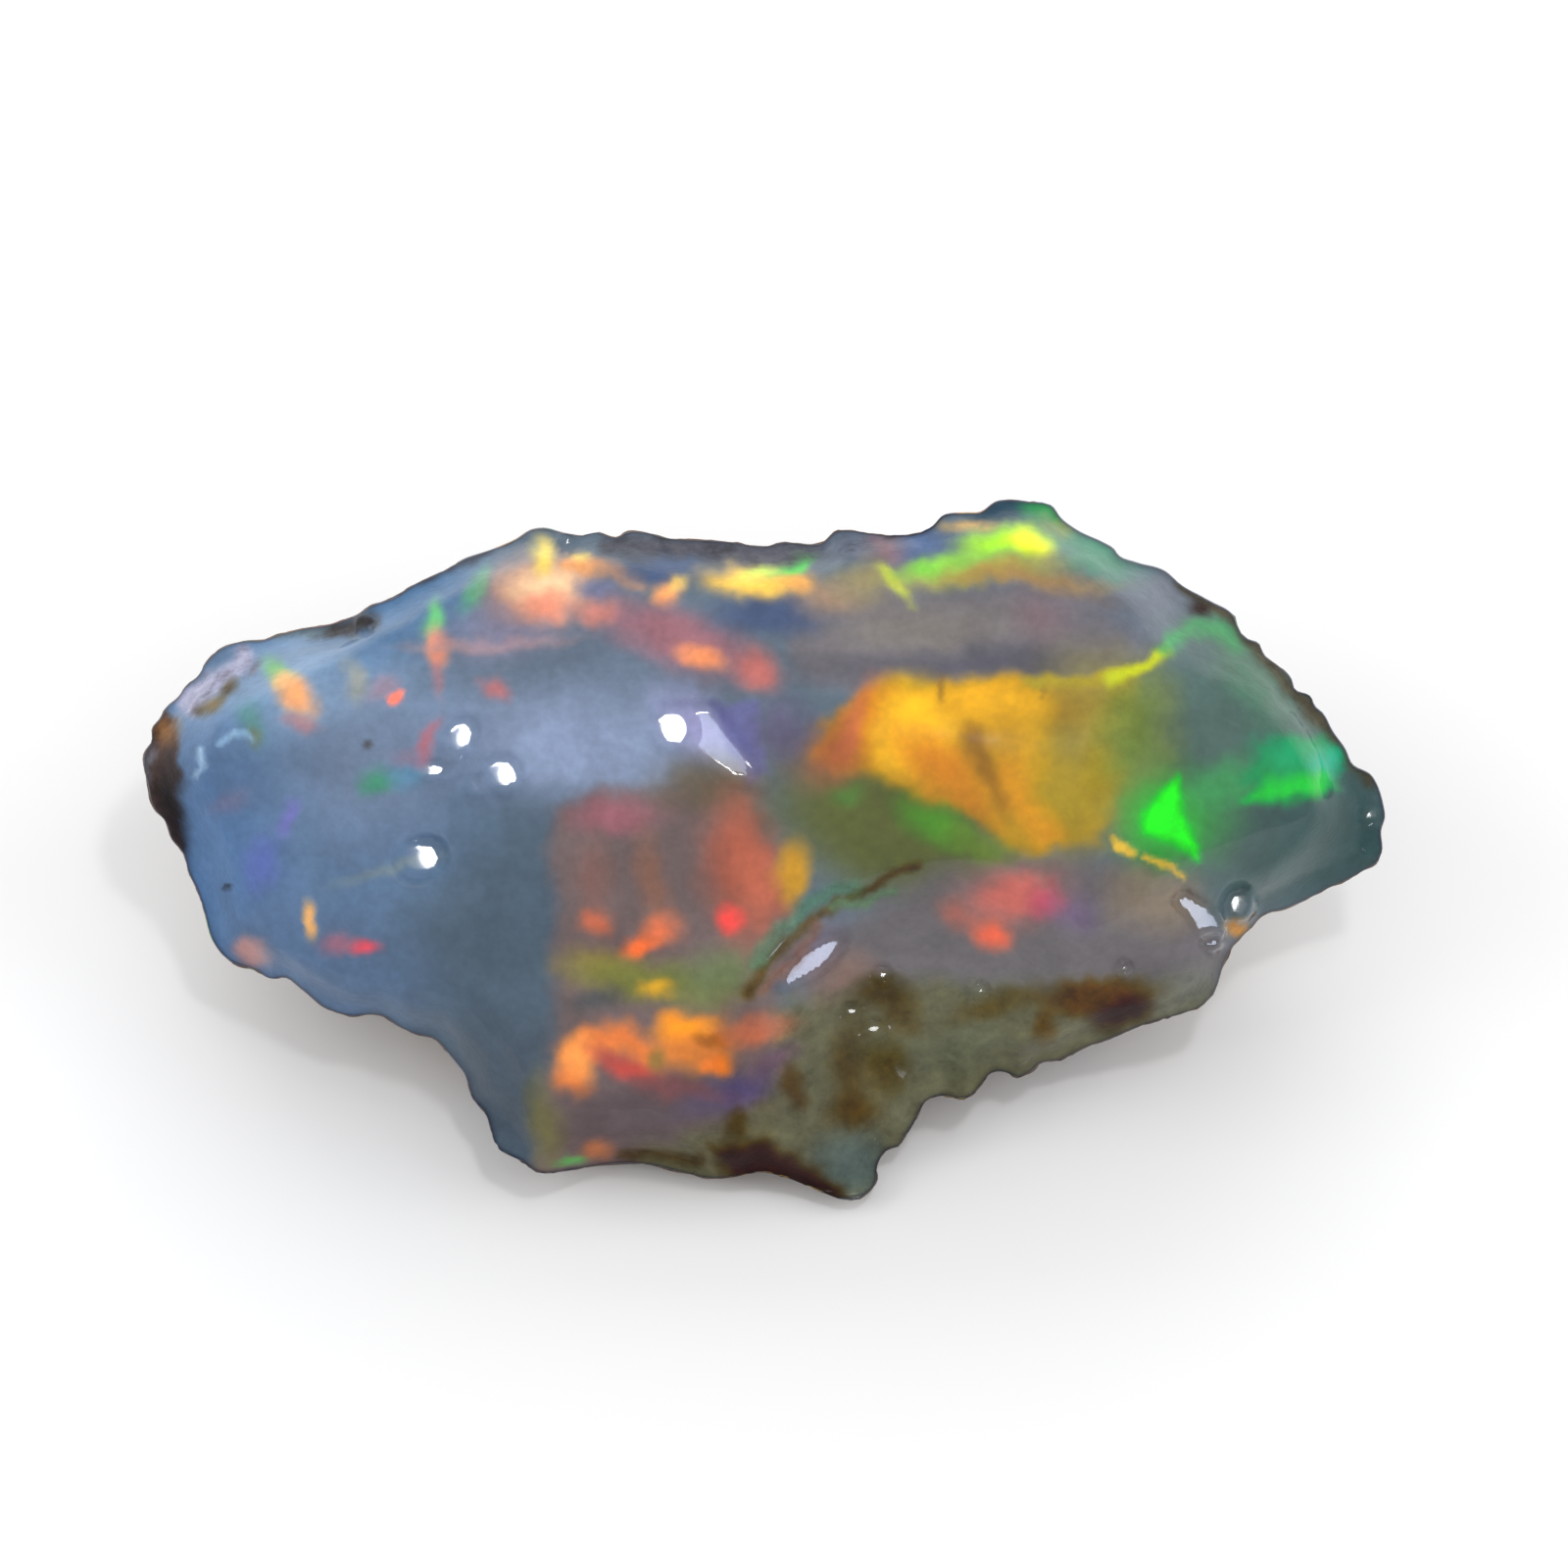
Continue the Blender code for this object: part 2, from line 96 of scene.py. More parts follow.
TIP_EDGE = [
    (12.48, 1.36), (12.64, 0.90), (12.68, 0.64), (12.60, 0.34), (12.62, -0.06),
    (12.56, -0.26), (12.20, -0.52), (11.56, -0.84), (11.00, -1.12), (10.50, -1.31),
    (10.20, -1.38), (9.88, -1.72), (9.56, -2.04), (9.40, -2.34), (9.20, -2.94),
    (8.98, -3.20),
]
MATRIX_EDGE = [
    (8.40, -3.44), (7.64, -3.66), (7.10, -3.90), (6.56, -4.10), (6.00, -4.36),
    (5.66, -4.42), (5.40, -4.62), (5.16, -4.70), (4.96, -4.60), (4.64, -4.60),
    (4.46, -4.80), (4.22, -5.07), (4.06, -5.12), (3.54, -5.07), (3.26, -5.22),
    (3.14, -5.46), (2.88, -5.90), (2.78, -6.07), (2.50, -6.18), (2.32, -6.44),
    (2.26, -6.88), (1.94, -7.16), (1.64, -7.18),
]
BOTTOM_EDGE = [
    (1.16, -7.02), (0.36, -6.70), (0.00, -6.62), (-0.60, -6.72), (-1.16, -6.76),
    (-1.70, -6.64), (-2.30, -6.50), (-3.02, -6.46), (-3.80, -6.56), (-4.68, -6.58),
    (-4.92, -6.40), (-5.46, -6.08), (-5.56, -5.84), (-5.66, -5.48), (-5.96, -5.10),
    (-6.12, -4.64), (-6.36, -4.32), (-6.78, -3.90),
]
LOWER_LEFT_EDGE = [
    (-7.12, -3.82), (-7.40, -3.70), (-7.76, -3.46), (-8.56, -3.43), (-8.94, -3.30),
    (-9.46, -2.90), (-9.80, -2.66), (-10.08, -2.70), (-10.36, -2.54), (-10.94, -2.32),
    (-11.30, -1.88), (-11.46, -1.34), (-11.62, -0.86),
]
OUTLINE = (CRUSTED_EDGE + UPPER_LEFT_EDGE + TOP_EDGE + CHIPPED_EDGE
           + TIP_EDGE + MATRIX_EDGE + BOTTOM_EDGE + LOWER_LEFT_EDGE)

# Broken faces of the front: a point (u, v, w) on each, how it climbs along u and along v,
# and how much it bulges. A negative bulge is a shell-shaped hollow.
FRONT_FACES = {
    "left lobe": (-7.6, 1.6, 2.90, 0.10, 0.02, 0.030),
    "lower left slope": (-8.6, -3.2, 0.50, 0.34, 0.36, 0.000),
    "upper left slope": (-8.4, 4.8, 1.10, 0.30, -0.62, 0.020),
    "top slope": (-1.0, 6.3, 0.90, 0.02, -0.58, 0.020),
    "middle": (-2.5, 2.5, 2.95, 0.03, -0.12, 0.015),
    "middle hollow": (-1.8, -0.9, 2.05, 0.00, 0.10, -0.080),
    "bottom slope": (-1.4, -4.4, 1.70, 0.04, 0.42, 0.020),
    "roof": (4.8, 5.0, 2.05, -0.02, -0.62, 0.000),
    "golden face": (4.6, 1.6, 3.05, 0.03, 0.06, 0.010),
    "tip slope": (10.0, 1.0, 1.95, -0.36, -0.06, 0.015),
    "shell hollow": (3.9, -4.6, 0.05, 0.03, 0.27, -0.085),
    "lower right slope": (6.6, -2.2, 1.75, -0.06, 0.52, -0.010),
    "matrix side": (5.0, -3.8, 0.85, -0.42, 0.80, -0.040),
    "tip underside": (11.0, -1.1, 0.45, -0.52, 0.62, -0.020),
    "chipped side": (9.3, 4.9, 0.35, -0.58, -0.68, -0.010),
    "foot side": (2.3, -6.4, 0.35, -0.70, 0.30, -0.300),
    "lower left end": (-5.7, -5.4, 0.40, 0.60, 0.25, -0.250),
}
# Broken faces of the back, in the same way
BACK_FACES = {
    "upper back": (-1.0, 4.0, -4.10, 0.04, 0.42, 0.000),
    "upper left back": (-8.5, 3.6, -3.40, -0.35, 0.50, 0.010),
    "upper right back": (8.5, 2.5, -3.20, 0.42, 0.25, 0.010),
    "left back": (-10.5, 0.5, -3.20, -0.80, 0.10, 0.000),
    "lower left back": (-8.5, -2.2, -2.80, -0.54, -0.58, 0.000),
    "lower right back": (9.5, -1.6, -2.70, 0.48, -0.64, 0.000),
    "right end back": (11.4, 0.6, -2.40, 0.80, 0.00, 0.000),
    "back scoop": (-3.2, 5.2, -2.60, 0.10, 0.45, -0.220),
    "back ledge": (4.9, 4.4, -2.90, -0.10, 0.55, -0.150),
    "left scoop": (-9.8, -0.9, -2.40, -0.60, -0.20, -0.250),
    "right scoop": (8.6, 0.2, -3.00, 0.50, -0.10, -0.200),
}
BULGE_REACH = 6.0
FRONT_SOFTNESS = 0.10
BACK_SOFTNESS = 0.18

# Bites out of the front beside the outline: where (u, v), how wide and how deep
CHIPS = [
    (-11.9, 2.3, 0.70, 0.30), (-10.1, -2.6, 0.60, 0.30), (-5.5, -5.7, 0.70, 0.35),
    (1.2, 6.3, 0.60, 0.40), (3.4, 6.5, 0.55, 0.40), (7.3, 6.0, 0.60, 0.40),
    (8.5, 5.4, 0.60, 0.35), (9.8, 4.4, 0.60, 0.55), (10.3, 3.9, 0.50, 0.45),
    (10.9, 3.3, 0.55, 0.55), (11.3, 2.9, 0.50, 0.40), (12.0, 1.7, 0.60, 0.50),
    (9.9, -1.6, 0.60, 0.40), (4.8, -4.5, 0.65, 0.60), (3.6, -5.0, 0.70, 0.55),
    (2.5, -6.1, 0.65, 0.55), (0.0, -6.6, 0.60, 0.30),
]

# The belt where front and back meet: its height, how it lifts towards the bottom and waves
# along the stone, and how far above the rest face it stays
BELT_HEIGHT = -0.90
BELT_LIFT_FROM = -3.0
BELT_LIFT = 0.04
BELT_WAVE = 1.50
BELT_WAVE_SIZE = 3.1
BELT_SEED = 4.5
BELT_CLEAR = 0.40
# The rounded rim beside the outline: its radius, how steeply it goes on at the gentlest and
# the steepest, how soon it ends further in, the least it rises, and how softly it meets the
# rest of the back and of the front
RIM_RADIUS = 0.30
RIM_STEEPNESS = (0.9, 3.4)
RIM_USUAL = 0.55
RIM_VARIES_OVER = 3.0
RIM_SEEDS = {"front": 9.5, "back": 2.5}
RIM_ENDS = 0.8
RIM_LEAST = 0.20
RIM_SOFTNESS = 0.10
FRONT_RIM_SOFTNESS = 0.42
# Further in, the sides follow the outline without its notches: over what stretch it is evened
# out, how far in that holds, and how much of the true distance is left
CALM_STRETCH = 1.6
CALM_FROM = 0.9
CALM_LEAST = 0.35

# Lumps over the stone: how wide, how high and which ones. They fade out towards the outline.
FRONT_LUMPS = (2.6, 0.06, 1.5)
CRUST_LUMPS = (3.6, 0.60, 7.5)
CRUST_GRAIN = (1.1, 0.08, 3.5)
LUMPS_FADE = 0.8

# The broken sides and the crust: shell-shaped scoops and smaller knobs, and how wide and deep
SCOOP = 1.9
SCOOP_RIDGE = 0.75
SCOOP_DEPTH = 0.34
KNOB = 0.9
KNOB_DEPTH = 0.20
# How far off the belt and off the outline they are full, how far over the front they reach from
# the outline, and how much of them is left there
BROKEN_FROM_BELT = 0.45
BROKEN_FROM_RIM = 0.35
BROKEN_REACH = 1.2
FRONT_BROKEN = 0.35

# Pits in the crust: how many, and their smallest and largest width and depth
PITS = 46
PIT_WIDTHS = (0.5, 1.3)
PIT_DEPTHS = (0.12, 0.32)
PIT_SEED = 11

# Size of the triangles
RIM_STEP = 0.09
FRONT_STEP = 0.085
BACK_STEP = 0.13
RINGS = (0.03, 0.07, 0.13, 0.21, 0.30)
JITTER = 0.16
JITTER_SEED = 5
CURVE_STEPS = 12
ON_RIM = 1e-4
SAME_SPOT = 1e-7


def fade(low, high, value):
    """From 0 at low to 1 at high, with soft ends."""
    share = np.clip((value - low) / (high - low), 0.0, 1.0)
    return share * share * (3.0 - 2.0 * share)


def smooth_loop(points, spacing):
    """A closed smooth curve through the points, as new points a spacing apart."""
    here = np.array(points)
    ahead = np.roll(here, -1, axis=0)
    behind = np.roll(here, 1, axis=0)
    step = np.linalg.norm(ahead - here, axis=1)[:, None]
    last_step = np.roll(step, 1, axis=0)
    lean = (here - behind) / last_step * step + (ahead - here) / step * last_step
    tangent = lean / (step + last_step)
    next_tangent = np.roll(tangent, -1, axis=0)
    t = (np.arange(CURVE_STEPS) / CURVE_STEPS)[None, :, None]
    curve = ((2 * t**3 - 3 * t**2 + 1) * here[:, None]
             + (t**3 - 2 * t**2 + t) * (tangent * step)[:, None]
             + (3 * t**2 - 2 * t**3) * ahead[:, None]
             + (t**3 - t**2) * (next_tangent * step)[:, None]).reshape(-1, 2)
    closed = np.vstack([curve, curve[:1]])
    along = np.concatenate([[0.0], np.cumsum(np.linalg.norm(np.diff(closed, axis=0), axis=1))])
    count = int(round(along[-1] / spacing))
    stops = np.arange(count) * along[-1] / count
    return np.column_stack([np.interp(stops, along, closed[:, axis]) for axis in (0, 1)])


def line_distance(spots, starts, ends):
    """How far each spot is from the nearest of some straight stretches."""
    nearest = np.full(len(spots), np.inf)
    for start, end in zip(starts, ends):
        side = end - start
        along = np.clip((spots - start) @ side / (side @ side), 0.0, 1.0)
        gap = spots - start - along[:, None] * side
        nearest = np.minimum(nearest, np.hypot(gap[:, 0], gap[:, 1]))
    return nearest


def edge_distance(spots, rim):
    """How far each spot is from the outline."""
    return line_distance(spots, rim, np.roll(rim, -1, axis=0))


def calmed(rim):
    """The outline with its notches evened out."""
    step = np.linalg.norm(rim[1] - rim[0])
    reach = int(round(CALM_STRETCH / step))
    return np.mean([np.roll(rim, shift, axis=0) for shift in range(-reach, reach + 1)], axis=0)


def inside(spots, rim):
    """Which spots lie within the outline."""
    odd = np.zeros(len(spots), dtype=bool)
    for (u0, v0), (u1, v1) in zip(rim, np.roll(rim, -1, axis=0)):
        if v0 == v1:
            continue
        crosses = (v0 > spots[:, 1]) != (v1 > spots[:, 1])
        reach = u0 + (spots[:, 1] - v0) * (u1 - u0) / (v1 - v0)
        odd ^= crosses & (spots[:, 0] < reach)
    return odd


def soft_least(heights, softness):
    """The least of several heights, with soft edges where they meet."""
    least = heights.min(axis=0)
    return least - softness * np.log(np.exp((least - heights) / softness).sum(axis=0))


def face_heights(spots, faces, outward):
    """The height of each broken face over each spot. A bulge levels off, a hollow keeps on."""
    rows = []
    for u, v, w, climb_u, climb_v, bulge in faces.values():
        du = spots[:, 0] - u
        dv = spots[:, 1] - v
        away = du**2 + dv**2
        if bulge > 0:
            away = away / (1 + away / BULGE_REACH**2)
        rows.append(w + climb_u * du + climb_v * dv - outward * bulge * away)
    return np.array(rows)


def lumps(spots, size, height, seed):
    """Natural lumps of a size across, up to about that height up and down."""
    return height * np.array([noise.noise(Vector((u / size, v / size, seed))) for u, v in spots])


def belt(spots):
    """The height of the belt, which lifts towards the bottom and waves along the stone."""
    low = np.maximum(0.0, BELT_LIFT_FROM - spots[:, 1])
    height = BELT_HEIGHT + BELT_LIFT * low**2
    height = height + lumps(spots, BELT_WAVE_SIZE, BELT_WAVE, BELT_SEED)
    return np.maximum(height, rest_plane(spots) + BELT_CLEAR)


def depths(spots, rim):
    """How far in each spot lies, from the outline and from the outline without its notches."""
    calm = calmed(rim)
    within = np.where(inside(spots, calm), 1.0, 0.0)
    return edge_distance(spots, rim), within * edge_distance(spots, calm)


def rim_rise(spots, distance, calm, side):
    """How far the surface may stand off the belt near the outline, here steep, there gentle."""
    turned = np.clip(distance / RIM_RADIUS, 0.0, 1.0)
    rounded = RIM_RADIUS * np.sqrt(1.0 - (1.0 - turned)**2)
    gentle, steep = RIM_STEEPNESS
    share = np.clip(RIM_USUAL + lumps(spots, RIM_VARIES_OVER, 1.0, RIM_SEEDS[side]), 0.0, 1.0)
    on = np.maximum(0.0, distance - RIM_RADIUS / 2)
    settled = np.clip(distance / CALM_FROM, 0.0, 1.0)
    on = on + settled * (np.maximum(calm, CALM_LEAST * on) - on)
    return rounded + (gentle + (steep - gentle) * share) * on + RIM_ENDS * on**2


def front_height(spots, distance, calm):
    """The front of the stone over each spot."""
    height = soft_least(face_heights(spots, FRONT_FACES, 1), FRONT_SOFTNESS)
    for u, v, width, depth in CHIPS:
        reach = np.hypot(spots[:, 0] - u, spots[:, 1] - v) / width
        height = height - depth * np.maximum(0.0, 1.0 - reach**2)
    away = np.clip(distance / LUMPS_FADE, 0.0, 1.0)
    height = height + away * lumps(spots, *FRONT_LUMPS)
    low = belt(spots)
    rise = rim_rise(spots, distance, calm, "front")
    height = soft_least(np.array([height, low + rise]), FRONT_RIM_SOFTNESS)
    return np.maximum(height, low + RIM_LEAST * np.minimum(1.0, rise))


def rest_plane(spots):
    """The flat face that the stone lies on, as a height towards the eye."""
    tilt = math.radians(LOOK_DOWN)
    return (REST_HEIGHT - spots[:, 1] * math.cos(tilt)) / math.sin(tilt)


def pit_depth(spots):
    """How deep the crust's pits are at each spot."""
    draw = np.random.default_rng(PIT_SEED)
    depth = np.zeros(len(spots))
    for _ in range(PITS):
        u = draw.uniform(-12.0, 12.0)
        v = draw.uniform(-6.0, 6.0)
        width = draw.uniform(*PIT_WIDTHS)
        deep = draw.uniform(*PIT_DEPTHS)
        reach = np.hypot(spots[:, 0] - u, spots[:, 1] - v) / width
        depth = np.maximum(depth, deep * np.maximum(0.0, 1.0 - reach**2))
    return depth


def back_height(spots, distance, calm):
    """The back of the stone over each spot, cut off flat where it rests."""
    height = -soft_least(-face_heights(spots, BACK_FACES, -1), BACK_SOFTNESS)
    away = np.clip(distance / LUMPS_FADE, 0.0, 1.0)
    crust = lumps(spots, *CRUST_LUMPS) + lumps(spots, *CRUST_GRAIN) + pit_depth(spots)
    height = height + away * crust
    low = belt(spots)
    rise = rim_rise(spots, distance, calm, "back")
    height = -soft_least(-np.array([height, low - rise]), RIM_SOFTNESS)
    height = np.minimum(height, low - RIM_LEAST * np.minimum(1.0, rise))
    return np.maximum(height, rest_plane(spots))


def scattered(rim, spacing, seed):
    """Spots over the outline: rings beside the rim, and a loose grid inside them."""
    along = np.roll(rim, -1, axis=0) - np.roll(rim, 1, axis=0)
    inward = np.column_stack([along[:, 1], -along[:, 0]]) / np.linalg.norm(along, axis=1)[:, None]
    layers = []
    for depth in RINGS:
        ring = rim + inward * depth
        layers.append(ring[edge_distance(ring, rim) > 0.9 * depth])
    draw = np.random.default_rng(seed)
    rows = np.arange(rim[:, 1].min(), rim[:, 1].max(), spacing * math.sqrt(3) / 2)
    columns = np.arange(rim[:, 0].min(), rim[:, 0].max(), spacing)
    u, v = np.meshgrid(columns, rows)
    u = u + spacing / 2 * (np.arange(len(rows)) % 2)[:, None]
    grid = np.column_stack([u.ravel(), v.ravel()])
    grid = grid + draw.uniform(-JITTER, JITTER, grid.shape) * spacing
    grid = grid[inside(grid, rim)]
    layers.append(grid[edge_distance(grid, rim) > RINGS[-1] + 0.5 * spacing])
    spots = np.vstack(layers)
    return spots[inside(spots, rim)]


def skin(rim, spacing, seed, height_of):
    """One side of the stone: its points (u, v, w) and its triangles."""
    spots = np.vstack([rim, scattered(rim, spacing, seed)])
    around = [(i, (i + 1) % len(rim)) for i in range(len(rim))]
    result = delaunay_2d_cdt([Vector(spot) for spot in spots], around, [], 0, SAME_SPOT, False)
    flat = np.array([tuple(point) for point in result[0]])
    triangles = np.array(result[2])
    triangles = triangles[inside(flat[triangles].mean(axis=1), rim)]
    distance, calm = depths(flat, rim)
    height = np.where(distance < ON_RIM, belt(flat), height_of(flat, distance, calm))
    return np.column_stack([flat, height]), triangles.tolist()


def broken_depth(place):
    """How deep the broken surface lies at a point, with scoops like bowls and ridges between."""
    nearest = noise.voronoi(place / SCOOP)[0][0]
    scoop = 1.0 - min(1.0, nearest / SCOOP_RIDGE)**2
    knob = 0.5 + 0.5 * noise.noise(place / KNOB)
    return SCOOP_DEPTH * scoop + KNOB_DEPTH * knob


def weather(stone, rim):
    """Eat the stone away inwards, but not on its glossy front, its belt or its rest face."""
    stone.normal_update()
    places = np.array([corner.co for corner in stone.verts])
    spots = places[:, :2]
    distance = edge_distance(spots, rim)
    low = belt(spots)
    off_belt = np.clip(np.abs(places[:, 2] - low) / BROKEN_FROM_BELT, 0.0, 1.0)
    off_rim = np.clip(distance / BROKEN_FROM_RIM, 0.0, 1.0)
    beside_rim = np.clip(1.0 - distance / BROKEN_REACH, 0.0, 1.0)
    beside_rim = FRONT_BROKEN * beside_rim * (1.0 - evenness(spots))
    broken = np.where(places[:, 2] > low, beside_rim, 1.0) * off_belt * off_rim
    floor = rest_plane(spots)
    for corner, share, lowest in zip(stone.verts, broken, floor):
        if corner.co.z < lowest + ON_RIM:
            continue
        corner.co -= corner.normal * share * broken_depth(corner.co)
        corner.co.z = max(corner.co.z, lowest)


def oval(u, v, long, wide, turn, soft):
    """A soft-edged oval, as a function that says how much of it covers each spot."""
    angle = math.radians(turn)

    def cover(spots):
        du = spots[:, 0] - u
        dv = spots[:, 1] - v
        along = (du * math.cos(angle) + dv * math.sin(angle)) / long
        across = (dv * math.cos(angle) - du * math.sin(angle)) / wide
        return 1.0 - fade(1.0 - soft, 1.0 + soft, np.hypot(along, across))

    return cover


def stroke(points, wide, soft):
    """A soft-edged stroke along some points, in the same way."""
    line = np.array(points)

    def cover(spots):
        return 1.0 - fade(1.0 - soft, 1.0 + soft, line_distance(spots, line[:-1], line[1:]) / wide)

    return cover


def panel(points, soft):
    """A soft-edged panel within some corners, in the same way. soft is in millimetres."""
    corners = np.array(points)

    def cover(spots):
        distance = edge_distance(spots, corners)
        return fade(-soft, soft, np.where(inside(spots, corners), distance, -distance))

    return cover


# What the stone's body looks like from the front, layer over layer, a few of them painted light:
# what it is, where it is, its colour as red, green and blue up to 255, and how strong it is
BODY_COLOUR = (104, 117, 130)
BODY = [
    ("left lobe", oval(-9.6, 0.9, 4.4, 4.8, 0, 0.5), (104, 130, 162), 1.0),
    ("pale top of the lobe", oval(-8.7, 3.3, 2.3, 1.1, 10, 0.7), (130, 158, 188), 0.9),
    ("bright blue top", oval(-7.1, 4.8, 1.7, 0.9, 30, 0.6), (92, 124, 160), 0.9),
    ("deep blue left edge", oval(-11.1, -0.6, 1.4, 2.9, 10, 0.6), (92, 120, 159), 0.8),
    ("lilac grey middle of the lobe", oval(-7.8, 1.8, 1.7, 1.6, 0, 0.7), (122, 136, 160), 0.8),
    ("slate below the lobe", oval(-5.6, -2.4, 1.9, 3.4, -25, 0.6), (88, 104, 119), 0.9),
    ("blue lower left", oval(-8.9, -2.5, 2.1, 1.3, -15, 0.6), (97, 118, 147), 0.8),
    ("grey lower left end", oval(-5.3, -5.2, 1.3, 1.6, 0, 0.6), (81, 92, 104), 0.9),
    ("slate upper middle", oval(-3.8, 3.6, 3.0, 1.4, 0, 0.6), (106, 119, 137), 0.9),
    # A painted soft highlight: a pale patch in place of the lamps' shine on the ridge
    ("painted soft highlight", oval(-3.6, 2.0, 2.3, 1.0, -5, 0.8), (157, 172, 205), 0.85),
    # A painted reflection of the window in lavender, on the pane that also mirrors the real one
    ("lavender haze", oval(-1.3, 2.5, 0.9, 0.5, -30, 0.9), (166, 164, 208), 0.85),
    ("reddish middle", panel([(-4.3, 0.8), (-4.25, -1.5), (-4.3, -4.4), (-4.8, -6.8), (0.3, -6.8),
                              (0.3, -2.6), (0.1, 0.7), (-0.8, 1.3), (-3.2, 1.2)], 0.28),
     (124, 107, 106), 0.95),
    ("roof", panel([(0.6, 4.2), (1.2, 5.2), (8.2, 5.4), (9.2, 4.6), (8.2, 3.9), (7.4, 3.5),
                    (1.6, 3.3), (0.7, 3.6)], 0.3), (116, 112, 118), 0.95),
    ("warm part of the roof", oval(3.2, 4.5, 1.9, 0.5, 0, 0.8), (132, 126, 119), 0.7),
    ("dark foot of the roof", oval(4.6, 3.75, 2.9, 0.3, 0, 0.7), (95, 94, 103), 0.8),
    ("blue end of the roof", oval(8.0, 4.8, 1.4, 0.6, -25, 0.7), (111, 121, 134), 0.85),
    ("teal right", oval(9.8, 1.8, 2.5, 3.0, -20, 0.4), (89, 110, 105), 1.0),
    ("dark tip", oval(11.5, 0.2, 1.7, 1.3, 0, 0.6), (68, 90, 90), 0.9),
    ("olive middle", oval(2.6, 0.4, 2.4, 1.3, -20, 0.5), (99, 104, 64), 0.95),
    ("lower facet", panel([(0.5, -2.5), (1.4, -1.7), (2.4, -1.1), (3.6, -0.4), (6.0, -0.2),
                           (8.6, -0.6), (9.6, -2.2), (9.2, -3.1), (2.4, -2.8)], 0.35),
     (112, 107, 110), 0.95),
    ("brownish end of the facet", oval(7.9, -1.0, 0.9, 0.7, -10, 0.7), (146, 131, 112), 0.8),
    ("matrix", panel([(0.2, -3.4), (1.0, -2.9), (2.4, -2.6), (4.5, -2.8), (7.6, -2.7),
                      (9.4, -3.0), (9.2, -3.4), (5.2, -4.9), (2.4, -7.3), (1.4, -7.4),
                      (-2.8, -6.9), (-2.6, -6.0), (-0.6, -5.4), (0.1, -4.6)], 0.3),
     (106, 105, 82), 0.95),
    ("pale matrix below", oval(2.5, -5.2, 0.9, 0.6, 20, 0.7), (112, 113, 92), 0.8),
    ("pale matrix amid", oval(3.9, -4.1, 1.0, 0.5, 10, 0.7), (106, 110, 90), 0.8),
    ("pale matrix right", oval(8.3, -3.0, 0.9, 0.4, 20, 0.7), (115, 118, 110), 0.7),
    # A painted reflection of the window in violet, over the right of that pane
    ("violet pane", panel([(-1.0, 2.9), (-0.1, 2.96), (0.05, 1.5), (-0.3, 1.2)], 0.12),
     (112, 112, 162), 0.8),
    ("teal foot", oval(1.8, -6.5, 0.7, 0.6, -30, 0.7), (89, 104, 103), 0.9),
    ("mauve bottom", oval(-2.3, -5.3, 1.9, 0.7, 8, 0.7), (98, 86, 90), 0.9),
]

# Flashes of colour in the left lobe
LEFT_FLASHES = [
    ("green", oval(-9.86, 3.55, 0.32, 0.22, -40, 0.8), (115, 178, 105), 0.85),
    ("yellow", oval(-9.68, 3.34, 0.26, 0.20, 0, 0.8), (232, 190, 112), 0.85),
    ("orange", oval(-9.48, 3.04, 0.38, 0.30, -35, 0.8), (238, 166, 115), 1.0),
    ("coral below", oval(-9.35, 2.50, 0.30, 0.15, 0, 0.8), (186, 122, 120), 0.6),
    ("coral dot", oval(-7.50, 3.04, 0.16, 0.14, 0, 0.5), (252, 130, 110), 1.0),
    ("pink beside the dot", oval(-7.80, 3.20, 0.30, 0.18, 20, 0.9), (190, 126, 132), 0.4),
    ("faint yellow", oval(-8.30, 3.44, 0.18, 0.32, 0, 0.9), (168, 160, 135), 0.6),
    ("teal", oval(-10.4, 2.50, 0.24, 0.40, 20, 0.9), (88, 142, 125), 0.6),
    ("olive", oval(-10.4, 2.20, 0.16, 0.14, 0, 0.9), (130, 128, 90), 0.5),
    ("green amid", oval(-7.86, 1.34, 0.34, 0.30, 0, 0.8), (74, 145, 112), 0.85),
    ("blue amid", oval(-7.30, 1.50, 0.30, 0.26, 0, 0.9), (92, 145, 175), 0.6),
    ("violet", oval(-9.62, 0.62, 0.15, 0.36, -15, 0.8), (122, 116, 190), 0.7),
    ("violet blue", oval(-10.2, -0.30, 0.34, 0.50, -20, 0.8), (100, 110, 182), 0.65),
    ("faint pink", oval(-10.8, 1.00, 0.40, 0.22, 20, 0.9), (135, 124, 150), 0.5),
    ("cream", oval(-9.22, -1.46, 0.17, 0.34, 10, 0.6), (228, 172, 110), 1.0),
    ("pink red", oval(-8.12, -2.04, 0.30, 0.18, 15, 0.6), (228, 92, 108), 1.0),
    ("pink tail", oval(-8.62, -2.00, 0.32, 0.22, 0, 0.8), (186, 112, 128), 0.7),
    ("orange at the edge", oval(-10.4, -2.2, 0.32, 0.26, -20, 0.8), (188, 136, 128), 0.85),
    ("red streak", oval(-6.86, 2.16, 0.14, 0.36, -25, 0.8), (184, 108, 118), 0.8),
    ("faint red", oval(-7.20, 1.85, 0.34, 0.16, 0, 0.9), (150, 112, 130), 0.5),
    ("coral", oval(-5.46, 3.24, 0.26, 0.20, -30, 0.8), (188, 112, 112), 0.8),
    ("pale streak", oval(-7.60, -0.40, 0.90, 0.12, 20, 0.9), (148, 155, 138), 0.4),
]

